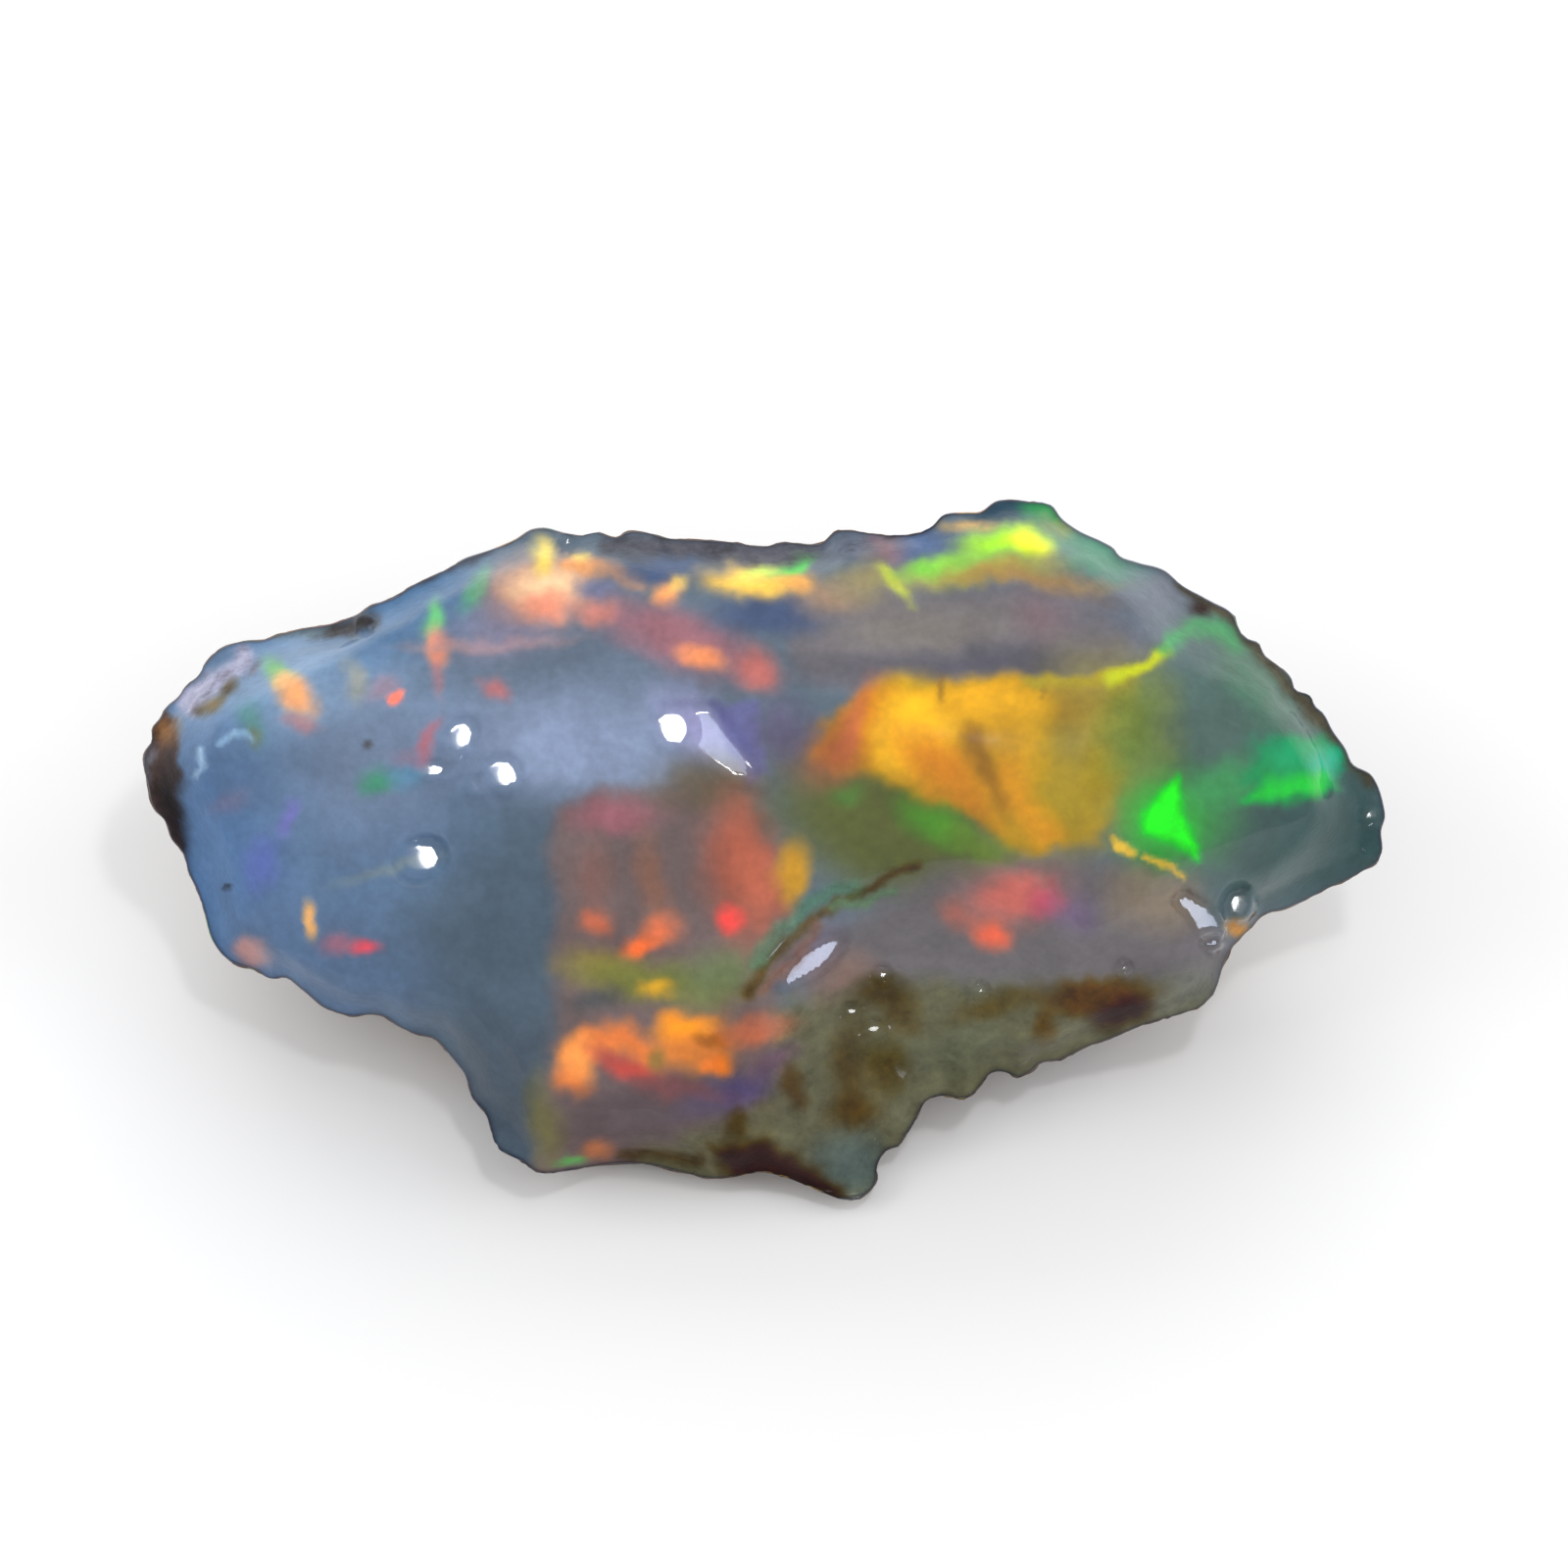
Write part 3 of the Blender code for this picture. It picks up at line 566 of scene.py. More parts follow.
# Flashes of colour along the top, from left to right
TOP_FLASHES = [
    ("green", oval(-6.70, 4.66, 0.20, 0.32, -15, 0.7), (110, 190, 122), 0.95),
    ("orange", oval(-6.60, 4.05, 0.24, 0.42, 10, 0.7), (238, 150, 118), 1.0),
    ("coral tail", oval(-6.60, 3.40, 0.12, 0.40, 0, 0.9), (192, 126, 128), 0.6),
    ("pink streak", oval(-5.50, 4.15, 1.40, 0.13, 3, 0.8), (178, 142, 138), 0.8),
    ("pinkish field", oval(-5.00, 4.70, 1.30, 0.60, 20, 0.8), (132, 124, 146), 0.7),
    ("teal", oval(-5.86, 5.30, 0.20, 0.44, -25, 0.8), (88, 168, 132), 0.9),
    ("peach field", oval(-4.40, 5.25, 1.15, 0.60, 0, 0.7), (205, 148, 122), 0.9),
    ("orange field", oval(-4.40, 5.30, 0.70, 0.40, 0, 0.8), (248, 208, 164), 1.0),
    ("upper yellow", oval(-4.50, 5.92, 0.24, 0.36, 0, 0.7), (242, 214, 108), 0.95),
    ("yellow dot", oval(-3.66, 5.86, 0.22, 0.18, 0, 0.7), (238, 206, 108), 0.95),
    ("coral foot", oval(-4.40, 4.88, 0.46, 0.26, 0, 0.8), (238, 150, 124), 0.9),
    ("orange arc", stroke([(-3.9, 5.68), (-3.2, 5.72), (-2.6, 5.5)], 0.16, 0.8),
     (228, 160, 108), 0.9),
    ("blue gap", oval(-3.25, 5.25, 0.42, 0.20, 0, 0.8), (106, 118, 148), 0.9),
    ("dark blue", oval(-2.10, 5.68, 0.90, 0.30, 0, 0.7), (80, 94, 124), 0.9),
    ("orange dot", oval(-2.02, 5.18, 0.32, 0.28, 0, 0.7), (242, 164, 106), 1.0),
    ("yellow beside it", oval(-1.75, 5.38, 0.20, 0.14, 0, 0.8), (240, 200, 110), 0.8),
    ("coral", oval(-3.30, 4.72, 0.36, 0.24, 0, 0.8), (220, 140, 118), 0.85),
    ("mauve field", oval(-1.70, 4.20, 1.60, 0.55, -20, 0.7), (162, 108, 116), 0.85),
    ("orange streak", oval(-1.30, 3.82, 0.46, 0.20, -18, 0.8), (240, 150, 104), 1.0),
    ("coral red", oval(-0.10, 3.60, 0.42, 0.32, -10, 0.8), (196, 112, 104), 0.85),
    ("dark lens", oval(0.20, 4.72, 1.10, 0.44, 4, 0.6), (80, 92, 120), 0.95),
    ("yellow flash halo", oval(-0.20, 5.45, 0.95, 0.38, 0, 0.6), (214, 172, 96), 0.9),
    ("yellow flash", oval(-0.15, 5.42, 0.72, 0.25, 0, 0.6), (250, 206, 98), 1.0),
    ("lime on it", oval(0.20, 5.70, 0.55, 0.14, 10, 0.8), (188, 224, 96), 0.8),
    ("green end", oval(0.80, 5.82, 0.36, 0.18, 25, 0.6), (88, 220, 92), 1.0),
    ("orange end", oval(0.74, 5.38, 0.34, 0.22, -15, 0.7), (242, 176, 100), 0.95),
    ("peach tail", oval(1.30, 5.10, 0.60, 0.30, 0, 0.9), (176, 142, 112), 0.7),
    ("olive", oval(2.10, 5.40, 0.60, 0.36, 0, 0.8), (148, 136, 102), 0.85),
    ("lime streak", oval(2.72, 5.36, 0.44, 0.14, -40, 0.6), (180, 192, 88), 0.95),
    ("mauve", oval(2.50, 6.00, 0.50, 0.24, -10, 0.8), (152, 112, 116), 0.7),
    ("blue", oval(3.30, 6.10, 0.50, 0.30, 20, 0.8), (92, 110, 146), 0.85),
    ("olive under the lime", oval(4.40, 5.60, 1.50, 0.24, 6, 0.8), (178, 168, 82), 0.9),
    ("lime tail", oval(3.70, 5.74, 0.80, 0.17, 14, 0.9), (146, 212, 88), 0.85),
    ("green spot in it", oval(3.30, 5.62, 0.26, 0.12, 0, 0.9), (122, 214, 84), 0.6),
    ("lime flash", oval(4.90, 6.22, 0.78, 0.32, 4, 0.7), (172, 240, 74), 1.0),
    ("yellow in it", oval(5.40, 6.18, 0.42, 0.25, -8, 0.8), (240, 240, 66), 1.0),
    ("orange above", oval(4.20, 6.62, 0.50, 0.14, 0, 0.8), (206, 168, 104), 0.85),
    ("orange right", oval(6.00, 6.56, 0.32, 0.20, -30, 0.8), (188, 158, 94), 0.8),
    ("dark teal top", oval(4.90, 6.90, 0.70, 0.22, 0, 0.7), (58, 78, 92), 0.95),
    ("green top", oval(5.70, 6.82, 0.40, 0.22, -10, 0.7), (62, 142, 86), 0.85),
    ("teal right", oval(6.70, 6.00, 0.90, 0.38, -25, 0.8), (82, 140, 112), 0.9),
    ("orange brown", oval(5.40, 5.46, 1.30, 0.17, -3, 0.9), (166, 132, 86), 0.85),
    ("brown streak", oval(6.40, 5.20, 0.80, 0.12, -12, 0.9), (124, 110, 104), 0.5),
    ("mauve below", oval(5.60, 4.66, 0.50, 0.46, 0, 0.9), (138, 110, 116), 0.5),
]

# Flashes of colour of the golden face, the crest above it and the green tip
GOLD_FLASHES = [
    ("golden face", panel([(0.8, 1.8), (1.2, 2.6), (1.8, 3.14), (2.5, 3.38), (7.5, 3.46),
                           (7.7, 2.4), (7.3, 1.2), (6.7, 0.2), (5.6, 0.0), (4.9, 0.1),
                           (4.2, 0.7), (3.2, 1.0), (2.4, 1.4), (1.6, 1.6)], 0.22),
     (184, 138, 50), 0.95),
    ("olive right", oval(6.7, 2.2, 1.3, 1.6, 0, 0.6), (150, 140, 76), 0.9),
    ("green right", oval(7.65, 1.7, 0.7, 1.6, 0, 0.8), (108, 128, 78), 0.9),
    ("lower yellow", oval(6.1, 0.9, 0.9, 0.9, -20, 0.8), (160, 138, 58), 0.9),
    ("brown upper", oval(5.9, 2.8, 0.7, 0.4, 0, 0.9), (152, 120, 56), 0.7),
    ("brown left", oval(1.5, 2.0, 0.8, 0.5, 30, 0.9), (160, 92, 70), 0.85),
    ("coral left", oval(2.0, 2.7, 0.4, 0.7, -25, 0.8), (196, 110, 78), 0.95),
    ("gold", oval(2.95, 2.45, 0.80, 0.85, 0, 0.7), (255, 194, 24), 1.0),
    ("gold right", oval(4.6, 2.95, 0.95, 0.40, 0, 0.7), (240, 178, 42), 1.0),
    ("gold centre", oval(5.0, 2.1, 0.7, 0.9, 0, 0.8), (196, 149, 44), 0.9),
    ("orange foot", oval(3.5, 1.75, 0.90, 0.40, -35, 0.8), (206, 132, 40), 0.95),
    ("purple by the gold", oval(0.35, 2.35, 0.42, 0.62, 0, 0.9), (104, 90, 122), 0.6),
    ("brown foot", oval(4.1, 0.95, 0.60, 0.25, -30, 0.9), (176, 116, 40), 0.8),
    ("dark wedge", stroke([(4.15, 2.3), (4.45, 1.7), (4.95, 0.9)], 0.2, 1.0), (134, 96, 36), 0.7),
    ("orange streak", stroke([(4.9, 1.6), (5.3, 0.9), (5.8, 0.3)], 0.26, 0.9), (206, 144, 44), 0.9),
    ("left notch", oval(3.60, 3.26, 0.08, 0.24, 0, 0.9), (132, 100, 62), 0.75),
    ("right notch", oval(5.62, 3.32, 0.05, 0.20, 0, 0.8), (130, 104, 62), 0.8),
    ("crest", stroke([(5.4, 3.42), (7.0, 3.5), (7.6, 3.66)], 0.13, 0.8), (168, 150, 60), 0.9),
    ("lime crest", stroke([(7.1, 3.45), (7.7, 3.7), (8.1, 4.0)], 0.16, 0.8), (182, 190, 60), 1.0),
    ("green crest", stroke([(8.1, 4.05), (8.6, 4.4), (9.2, 4.5), (9.6, 4.2)], 0.18, 1.0),
     (80, 156, 100), 0.9),
    ("green beside the rim", oval(9.9, 3.5, 0.5, 1.0, 30, 0.9), (76, 122, 92), 0.6),
    ("green in the olive", oval(3.4, 0.5, 0.7, 0.35, -30, 0.8), (86, 150, 60), 0.85),
    ("small green", oval(1.7, 1.1, 0.30, 0.20, 0, 0.9), (84, 132, 70), 0.6),
    ("green foot", oval(4.4, 0.1, 0.6, 0.25, -10, 0.9), (108, 134, 62), 0.7),
    ("green field", oval(8.4, 0.6, 1.0, 0.9, 10, 0.7), (70, 142, 78), 0.8),
    ("green bridge", oval(9.4, 1.3, 0.8, 0.4, 25, 0.8), (72, 150, 92), 0.75),
    ("green halo", oval(8.1, 0.5, 0.75, 0.60, -60, 0.7), (64, 186, 70), 0.75),
    ("green triangle", panel([(8.40, 1.40), (7.95, 1.05), (7.66, 0.68), (7.72, 0.36),
                              (8.84, -0.30), (8.42, 0.66)], 0.16), (18, 246, 42), 1.0),
    ("green upper", panel([(9.6, 1.4), (10.0, 2.1), (10.7, 2.36), (11.4, 2.3), (11.8, 1.8),
                           (11.7, 1.3), (10.6, 1.2)], 0.20), (48, 144, 92), 1.0),
    ("teal upper", oval(10.8, 1.95, 0.75, 0.30, -8, 0.8), (54, 156, 108), 0.8),
    ("blue teal", oval(11.45, 1.7, 0.26, 0.30, 0, 0.7), (40, 170, 140), 0.85),
    ("green streak", panel([(9.6, 1.0), (10.1, 1.42), (11.4, 1.54), (11.66, 1.30),
                            (11.4, 1.12), (10.4, 0.96)], 0.18), (34, 196, 74), 1.0),
    ("yellow ridge", stroke([(7.2, 0.12), (7.55, -0.04)], 0.12, 0.6), (222, 184, 76), 1.0),
    ("yellow ridge end", stroke([(7.8, -0.20), (8.15, -0.36), (8.5, -0.58)], 0.07, 0.7),
     (210, 176, 80), 0.95),
]

# Flashes of colour of the middle and of the shell hollow to its right
MIDDLE_FLASHES = [
    ("brown hollow", oval(-1.1, 1.25, 0.9, 0.6, -10, 0.8), (108, 97, 82), 0.9),
    ("pink", oval(-3.0, 0.70, 0.8, 0.35, 0, 0.8), (168, 104, 116), 0.75),
    ("rust left", oval(-3.4, -0.70, 0.25, 0.70, 0, 1.0), (144, 102, 94), 0.6),
    ("rust amid", oval(-2.3, -0.60, 0.30, 0.80, 10, 0.9), (150, 106, 88), 0.7),
    ("coral field", oval(-0.4, -0.50, 0.75, 1.40, 8, 0.7), (172, 98, 80), 0.9),
    ("coral core", oval(-0.15, -0.40, 0.36, 0.90, 12, 0.9), (194, 110, 88), 0.9),
    ("red dot", oval(-0.76, -1.50, 0.25, 0.21, 0, 0.8), (250, 86, 82), 1.0),
    ("orange left", oval(-3.4, -1.50, 0.28, 0.22, 0, 0.8), (204, 112, 86), 0.9),
    ("orange", oval(-2.5, -1.90, 0.36, 0.22, 25, 0.7), (244, 122, 78), 1.0),
    ("orange above", oval(-2.1, -1.58, 0.34, 0.32, 0, 0.8), (224, 122, 88), 0.9),
    ("gold", oval(0.55, -0.50, 0.32, 0.60, -12, 0.6), (202, 150, 58), 0.95),
    ("olive yellow", oval(-3.3, -2.35, 0.70, 0.32, 0, 0.8), (150, 136, 80), 0.8),
    ("olive field", oval(-2.2, -2.75, 1.50, 0.42, -8, 0.7), (128, 134, 78), 0.85),
    ("green grey", oval(-0.9, -2.50, 0.80, 0.45, 0, 0.8), (108, 124, 88), 0.8),
    ("yellow dot", oval(-2.2, -2.90, 0.34, 0.20, 0, 0.7), (212, 164, 68), 0.95),
    ("dark gap", oval(-3.5, -3.10, 0.50, 0.22, 10, 0.8), (84, 88, 90), 0.8),
    ("arch", stroke([(-3.85, -4.75), (-3.82, -4.25), (-3.5, -3.92), (-2.9, -3.82),
                     (-2.45, -4.2)], 0.28, 0.9), (232, 130, 74), 0.95),
    ("arch core", oval(-3.76, -4.28, 0.34, 0.42, -15, 0.7), (252, 160, 88), 1.0),
    ("red under the arch", oval(-2.8, -4.45, 0.60, 0.20, -28, 0.8), (200, 84, 76), 0.9),
    ("orange field", oval(-1.5, -4.00, 0.90, 0.55, 8, 0.6), (222, 132, 66), 0.95),
    ("bright gold", oval(-1.6, -3.60, 0.55, 0.26, 5, 0.7), (248, 154, 56), 1.0),
    ("brown spot", oval(-1.05, -3.85, 0.28, 0.14, 0, 0.8), (162, 98, 46), 0.9),
    ("orange end", oval(-1.00, -4.36, 0.36, 0.20, 20, 0.7), (244, 132, 62), 1.0),
    ("coral tail", oval(-0.10, -3.72, 0.60, 0.24, 10, 0.9), (196, 112, 84), 0.85),
    ("olive spot", oval(-2.30, -4.25, 0.18, 0.24, 0, 0.8), (132, 116, 70), 0.8),
    ("violet blue", oval(-0.70, -4.95, 0.90, 0.34, 20, 0.8), (92, 84, 114), 0.9),
    ("purple end", oval(0.30, -4.30, 0.40, 0.24, 20, 0.9), (108, 84, 104), 0.8),
    ("maroon", oval(-1.80, -4.90, 0.80, 0.20, -8, 0.8), (124, 82, 84), 0.8),
    ("brown foot", oval(-3.50, -6.20, 0.34, 0.22, 10, 0.8), (188, 116, 80), 0.9),
    ("green foot", oval(-4.05, -6.44, 0.30, 0.11, 0, 0.7), (98, 168, 92), 0.95),
    ("olive left foot", oval(-4.50, -5.60, 0.30, 0.80, 0, 0.8), (118, 114, 76), 0.8),
    ("salmon", oval(1.50, -2.60, 0.70, 0.36, 20, 0.9), (146, 110, 96), 0.7),
    ("lilac", oval(0.90, -2.10, 0.70, 0.30, 40, 0.9), (124, 108, 126), 0.6),
    ("red field", oval(5.00, -0.95, 0.90, 0.62, 0, 0.8), (178, 106, 98), 1.0),
    ("amber glow", oval(9.72, -1.62, 0.26, 0.16, 0, 0.8), (214, 142, 52), 0.9),
    ("red core", oval(5.10, -0.90, 0.60, 0.40, 0, 0.8), (200, 106, 96), 0.9),
    ("magenta", oval(5.70, -1.15, 0.34, 0.32, 0, 0.9), (190, 80, 104), 0.85),
    ("orange foot", oval(4.62, -1.74, 0.38, 0.24, -35, 0.9), (234, 104, 76), 1.0),
    ("coral left", oval(3.90, -1.35, 0.34, 0.26, -30, 0.9), (176, 98, 84), 0.7),
    ("violet", oval(6.30, -1.35, 0.40, 0.32, 0, 1.0), (116, 98, 134), 0.6),
]

# Where the matrix and the rind show from the front, with darker marks along the crease, a few
# painted highlights, and painted shade along the upper left rim
STAINS = [
    ("crease", stroke([(-0.3, -3.0), (0.1, -2.3), (0.7, -1.65), (1.6, -1.06)], 0.12, 1.0),
     (92, 70, 34), 0.8),
    ("dark crease", stroke([(1.8, -0.94), (2.5, -0.6), (3.1, -0.34)], 0.08, 1.0),
     (76, 56, 18), 0.9),
    # A painted highlight in teal along the upper edge of the ledge
    ("painted teal highlight on the ledge", stroke([(-0.1, -2.3), (0.3, -1.66), (0.8, -1.2), (1.4, -0.85), (1.9, -0.75)],
                         0.16, 1.0), (84, 134, 106), 0.62),
    ("green lower edge", stroke([(1.4, -1.2), (2.0, -1.02), (2.6, -0.86)], 0.08, 0.9),
     (98, 132, 100), 0.8),
    ("brown below the crease", stroke([(0.0, -3.0), (0.5, -2.3), (1.1, -1.6)], 0.1, 1.0),
     (146, 98, 76), 0.55),
    ("stain left", oval(2.35, -2.95, 0.55, 0.34, 5, 0.7), (70, 58, 30), 0.95),
    ("stain below it", oval(2.7, -3.4, 0.42, 0.34, 0, 0.8), (86, 72, 40), 0.8),
    ("stain amid", oval(4.7, -3.2, 0.9, 0.22, 18, 0.8), (86, 74, 42), 0.85),
    ("stain right", oval(6.8, -3.0, 1.05, 0.30, 0, 0.6), (88, 60, 18), 0.95),
    ("darkest stain", oval(7.3, -3.35, 0.52, 0.26, 5, 0.7), (54, 28, 0), 1.0),
    ("upright stain", oval(5.85, -3.5, 0.18, 0.36, -10, 0.8), (94, 70, 30), 0.85),
    ("long stain", oval(1.8, -4.5, 0.36, 0.90, 5, 0.8), (82, 68, 38), 0.85),
    ("stain beside it", oval(2.5, -4.5, 0.30, 0.45, 0, 0.8), (84, 70, 36), 0.8),
    ("stain foot", oval(1.8, -5.35, 0.50, 0.36, -10, 0.8), (78, 60, 30), 0.9),
    ("small stain", oval(0.55, -4.85, 0.22, 0.32, 20, 0.8), (82, 62, 36), 0.85),
    ("left stain", oval(-0.65, -5.7, 0.26, 0.30, 20, 0.8), (70, 56, 30), 0.85),
    ("bottom stain", panel([(-1.0, -6.2), (0.0, -6.0), (0.7, -6.3), (1.5, -7.0), (1.6, -7.3),
                            (0.4, -6.9), (-0.6, -6.9)], 0.22), (54, 30, 6), 1.0),
    ("thin stain", stroke([(-3.0, -6.35), (-2.0, -6.28), (-1.2, -6.42)], 0.1, 0.9),
     (72, 56, 32), 0.8),
    ("chalky band", stroke([(-11.7, 2.98), (-11.2, 3.5), (-10.6, 3.95)], 0.24, 0.6),
     (162, 165, 194), 1.0),
    ("brown by the band", oval(-11.5, 2.86, 0.16, 0.10, 30, 0.8), (72, 64, 54), 0.9),
    ("tan by the band", oval(-11.2, 2.94, 0.24, 0.16, 40, 0.8), (118, 100, 66), 0.9),
    ("brown blotch", oval(-10.9, 3.30, 0.24, 0.12, 55, 0.8), (92, 78, 56), 0.9),
    ("grey blotch", oval(-10.4, 3.65, 0.20, 0.10, 40, 0.9), (112, 106, 120), 0.7),
    ("grey green top edge", stroke([(-9.9, 4.36), (-8.9, 4.5)], 0.14, 0.9), (104, 116, 116), 0.6),
    ("olive top edge", stroke([(-8.7, 4.5), (-8.0, 4.6)], 0.17, 0.9), (68, 62, 60), 0.9),
    ("left rind", panel([(-13.0, 2.4), (-12.3, 2.9), (-12.0, 2.6), (-11.95, 1.6), (-11.92, 0.2),
                         (-11.95, -0.5), (-12.6, 0.0)], 0.1), (74, 58, 54), 1.0),
    ("dark rind", oval(-12.05, 0.8, 0.24, 0.9, 8, 0.8), (36, 32, 36), 0.9),
    ("rusty rind", oval(-12.2, 2.4, 0.26, 0.30, 0, 0.8), (128, 92, 58), 0.85),
    ("grey edge of the rind", oval(-12.6, 1.6, 0.14, 0.50, 0, 0.8), (104, 108, 122), 0.8),
    ("right rind", stroke([(8.6, 5.35), (9.5, 4.74), (10.2, 4.0), (10.65, 3.5), (11.3, 2.76),
                           (11.9, 1.96), (12.3, 1.5)], 0.14, 0.9), (78, 70, 56), 0.85),
    ("dark spot", oval(8.9, 4.86, 0.20, 0.18, 0, 0.7), (50, 40, 38), 0.95),
    ("top rim", stroke([(-3.0, 6.2), (-1.2, 6.05), (1.1, 6.05)], 0.22, 0.7), (84, 84, 94), 0.85),
    ("blue rim", oval(1.7, 6.15, 0.45, 0.25, 0, 0.8), (102, 110, 130), 0.85),
    ("brown rim", oval(2.75, 6.35, 0.36, 0.09, 0, 0.8), (68, 50, 50), 0.9),
    # Painted shade: a thin dark line where the upper left rim rounds off
    ("painted shade along the upper left rim", stroke([(-8.2, 4.98), (-7.1, 5.4), (-5.9, 6.0), (-4.9, 6.42)], 0.08, 0.9),
     (64, 64, 74), 0.7),
    # Painted highlights: small pale blue glints on the left of the lobe
    ("painted pale highlight", stroke([(-11.55, 2.0), (-11.5, 1.7), (-11.65, 1.5)], 0.07, 0.9),
     (160, 192, 228), 0.75),
    ("painted paler highlight", stroke([(-11.15, 2.2), (-10.8, 2.32), (-10.5, 2.2)], 0.06, 0.9),
     (150, 188, 226), 0.7),
    ("speck", oval(-8.08, 2.08, 0.09, 0.07, 0, 0.7), (78, 78, 84), 0.9),
    ("dark speck", oval(-11.02, -0.70, 0.08, 0.05, 30, 0.6), (26, 30, 42), 1.0),
]
# The layers in their order, and how much each shines as flashes do
LAYERS = ((BODY, 0.0), (LEFT_FLASHES, 1.0), (TOP_FLASHES, 1.0), (GOLD_FLASHES, 1.0),
          (MIDDLE_FLASHES, 1.0), (STAINS, 0.0))
# The colours wander off their drawn places: over what size, and how far
WANDER = ((1.1, 0.09), (0.38, 0.05), (0.18, 0.025))
WANDER_SEEDS = ((20.5, 31.5), (42.5, 53.5), (64.5, 75.5))
# The gloss adds this much light of its own, so that much is left out of the colours, but only
# this share of it where the stone is dull, and no colour is darker than the last number
VEIL = 0.034
DULL_VEIL = 0.35
DARKEST = 0.004
# How dull the matrix is beside the stains
MATRIX_DULL = 0.6
# Painted shade beside the outline, a thin dark line: how wide, its colour and how strong
EDGE_SHADE_WIDTH = 0.10
EDGE_SHADE_COLOUR = (42, 42, 52)
EDGE_SHADE_SHARE = 0.75

# How squarely the surface faces the eye, from where the painted colours start to where they are
# full, and in the same way for the rind on the steep sides, with how much of it there is
FACES_EYE = (0.02, 0.20)
FACES_SIDE = (0.05, 0.40)
SIDE_RIND = 0.50
BACK_RIND = 0.68
# What breaks the rind up: how wide and how strongly, and where it starts and is full
RIND_BREAKS = ((4.4, 0.70), (1.5, 0.35), (0.5, 0.15))
RIND_STARTS = (0.40, 0.62)
# How shiny the steep sides are, and how squarely a face has to face the eye to be shinier and
# how far in from the outline it has to be
SIDE_SHEEN = 0.30
SHEEN_FACES = (0.60, 0.85)
SHEEN_STARTS = (0.3, 1.6)
# How far in from the outline the rind creeps over the front
CREEPS_IN = (0.15, 0.50)
# How much of its shine the stone loses at the edges of its small panes and domes
PANE_EDGE_DULL = 0.85
# Places that are only satin, where the stone is a little worn
SATIN_SPOTS = [oval(-0.4, -4.4, 0.55, 2.0, 8, 0.3), oval(-2.6, -2.3, 1.2, 0.8, 0, 0.4),
               oval(7.2, 2.4, 0.6, 1.3, -20, 0.4), oval(7.9, -0.3, 0.3, 0.3, 0, 0.4),
               oval(2.5, -4.2, 0.6, 0.4, 0, 0.4), oval(-2.0, -6.3, 2.4, 0.5, -4, 0.4),
               oval(4.1, -4.5, 0.5, 0.5, 0, 0.4), oval(-11.3, -0.6, 0.7, 2.4, 8, 0.4)]

# How a spot climbs to the right and up where it shows the lamp or a window to the eye
TO_LAMP = (-0.11, -0.22)
TO_WINDOW = (-0.13, -0.30)
TO_LOW_WINDOW = (-0.22, 0.40)
# Small shiny panes and domes of the front: their place, the radius that they are rounded to,
# and how they climb
GLINTS = [
    (panel([(-2.3, 2.9), (-1.0, 2.96), (-0.3, 2.0), (-0.05, 1.2), (-0.7, 1.3), (-1.5, 1.9)],
           0.2), 40.0, TO_WINDOW),
    (panel([(8.20, -1.05), (8.52, -0.80), (9.40, -1.40), (9.42, -1.82), (8.92, -1.90)], 0.06),
     30.0, TO_LOW_WINDOW),
    (oval(0.96, -2.30, 0.86, 0.32, 37, 0.3), 24.0, TO_LOW_WINDOW),
    (oval(9.12, -1.94, 0.26, 0.20, 0, 0.3), 8.0, TO_LOW_WINDOW),
    (oval(-6.30, 1.75, 0.40, 0.24, 70, 0.3), 7.0, TO_LAMP),
    (oval(-6.14, 2.25, 0.46, 0.34, 60, 0.3), 11.0, TO_LAMP),
    (oval(-6.74, 1.58, 0.42, 0.22, 10, 0.3), 7.0, TO_LAMP),
    (oval(-5.76, 1.28, 0.28, 0.24, 0, 0.3), 6.0, TO_LAMP),
    (oval(-5.28, 1.50, 0.42, 0.42, 0, 0.3), 12.0, TO_LAMP),
    (oval(-6.94, -0.20, 0.54, 0.44, 20, 0.3), 13.0, TO_LAMP),
    (oval(-1.86, 2.40, 0.44, 0.44, 0, 0.3), 13.0, TO_LAMP),
    (oval(-4.04, 6.24, 0.22, 0.20, 0, 0.3), 4.0, TO_LAMP),
    (oval(9.66, -1.16, 0.36, 0.40, 0, 0.3), 8.0, TO_LAMP),
    (oval(12.40, 0.66, 0.26, 0.22, 0, 0.3), 6.0, TO_LAMP),
    (oval(2.40, -2.58, 0.22, 0.20, 0, 0.3), 4.5, TO_LAMP),
    (oval(1.78, -3.32, 0.22, 0.20, 0, 0.3), 4.5, TO_LAMP),
    (oval(2.22, -3.68, 0.25, 0.22, 0, 0.3), 5.5, TO_LAMP),
    (oval(4.40, -2.90, 0.20, 0.18, 0, 0.3), 3.5, TO_LAMP),
    (oval(7.30, -2.44, 0.20, 0.17, 0, 0.3), 3.0, TO_LAMP),
    (oval(-8.18, 4.60, 0.20, 0.18, 0, 0.3), 5.0, TO_LAMP),
]


def linear(colour):
    """A colour as seen, from 0 to 1, as the light that makes it."""
    return np.where(colour <= 0.04045, colour / 12.92, ((colour + 0.055) / 1.055)**2.4)


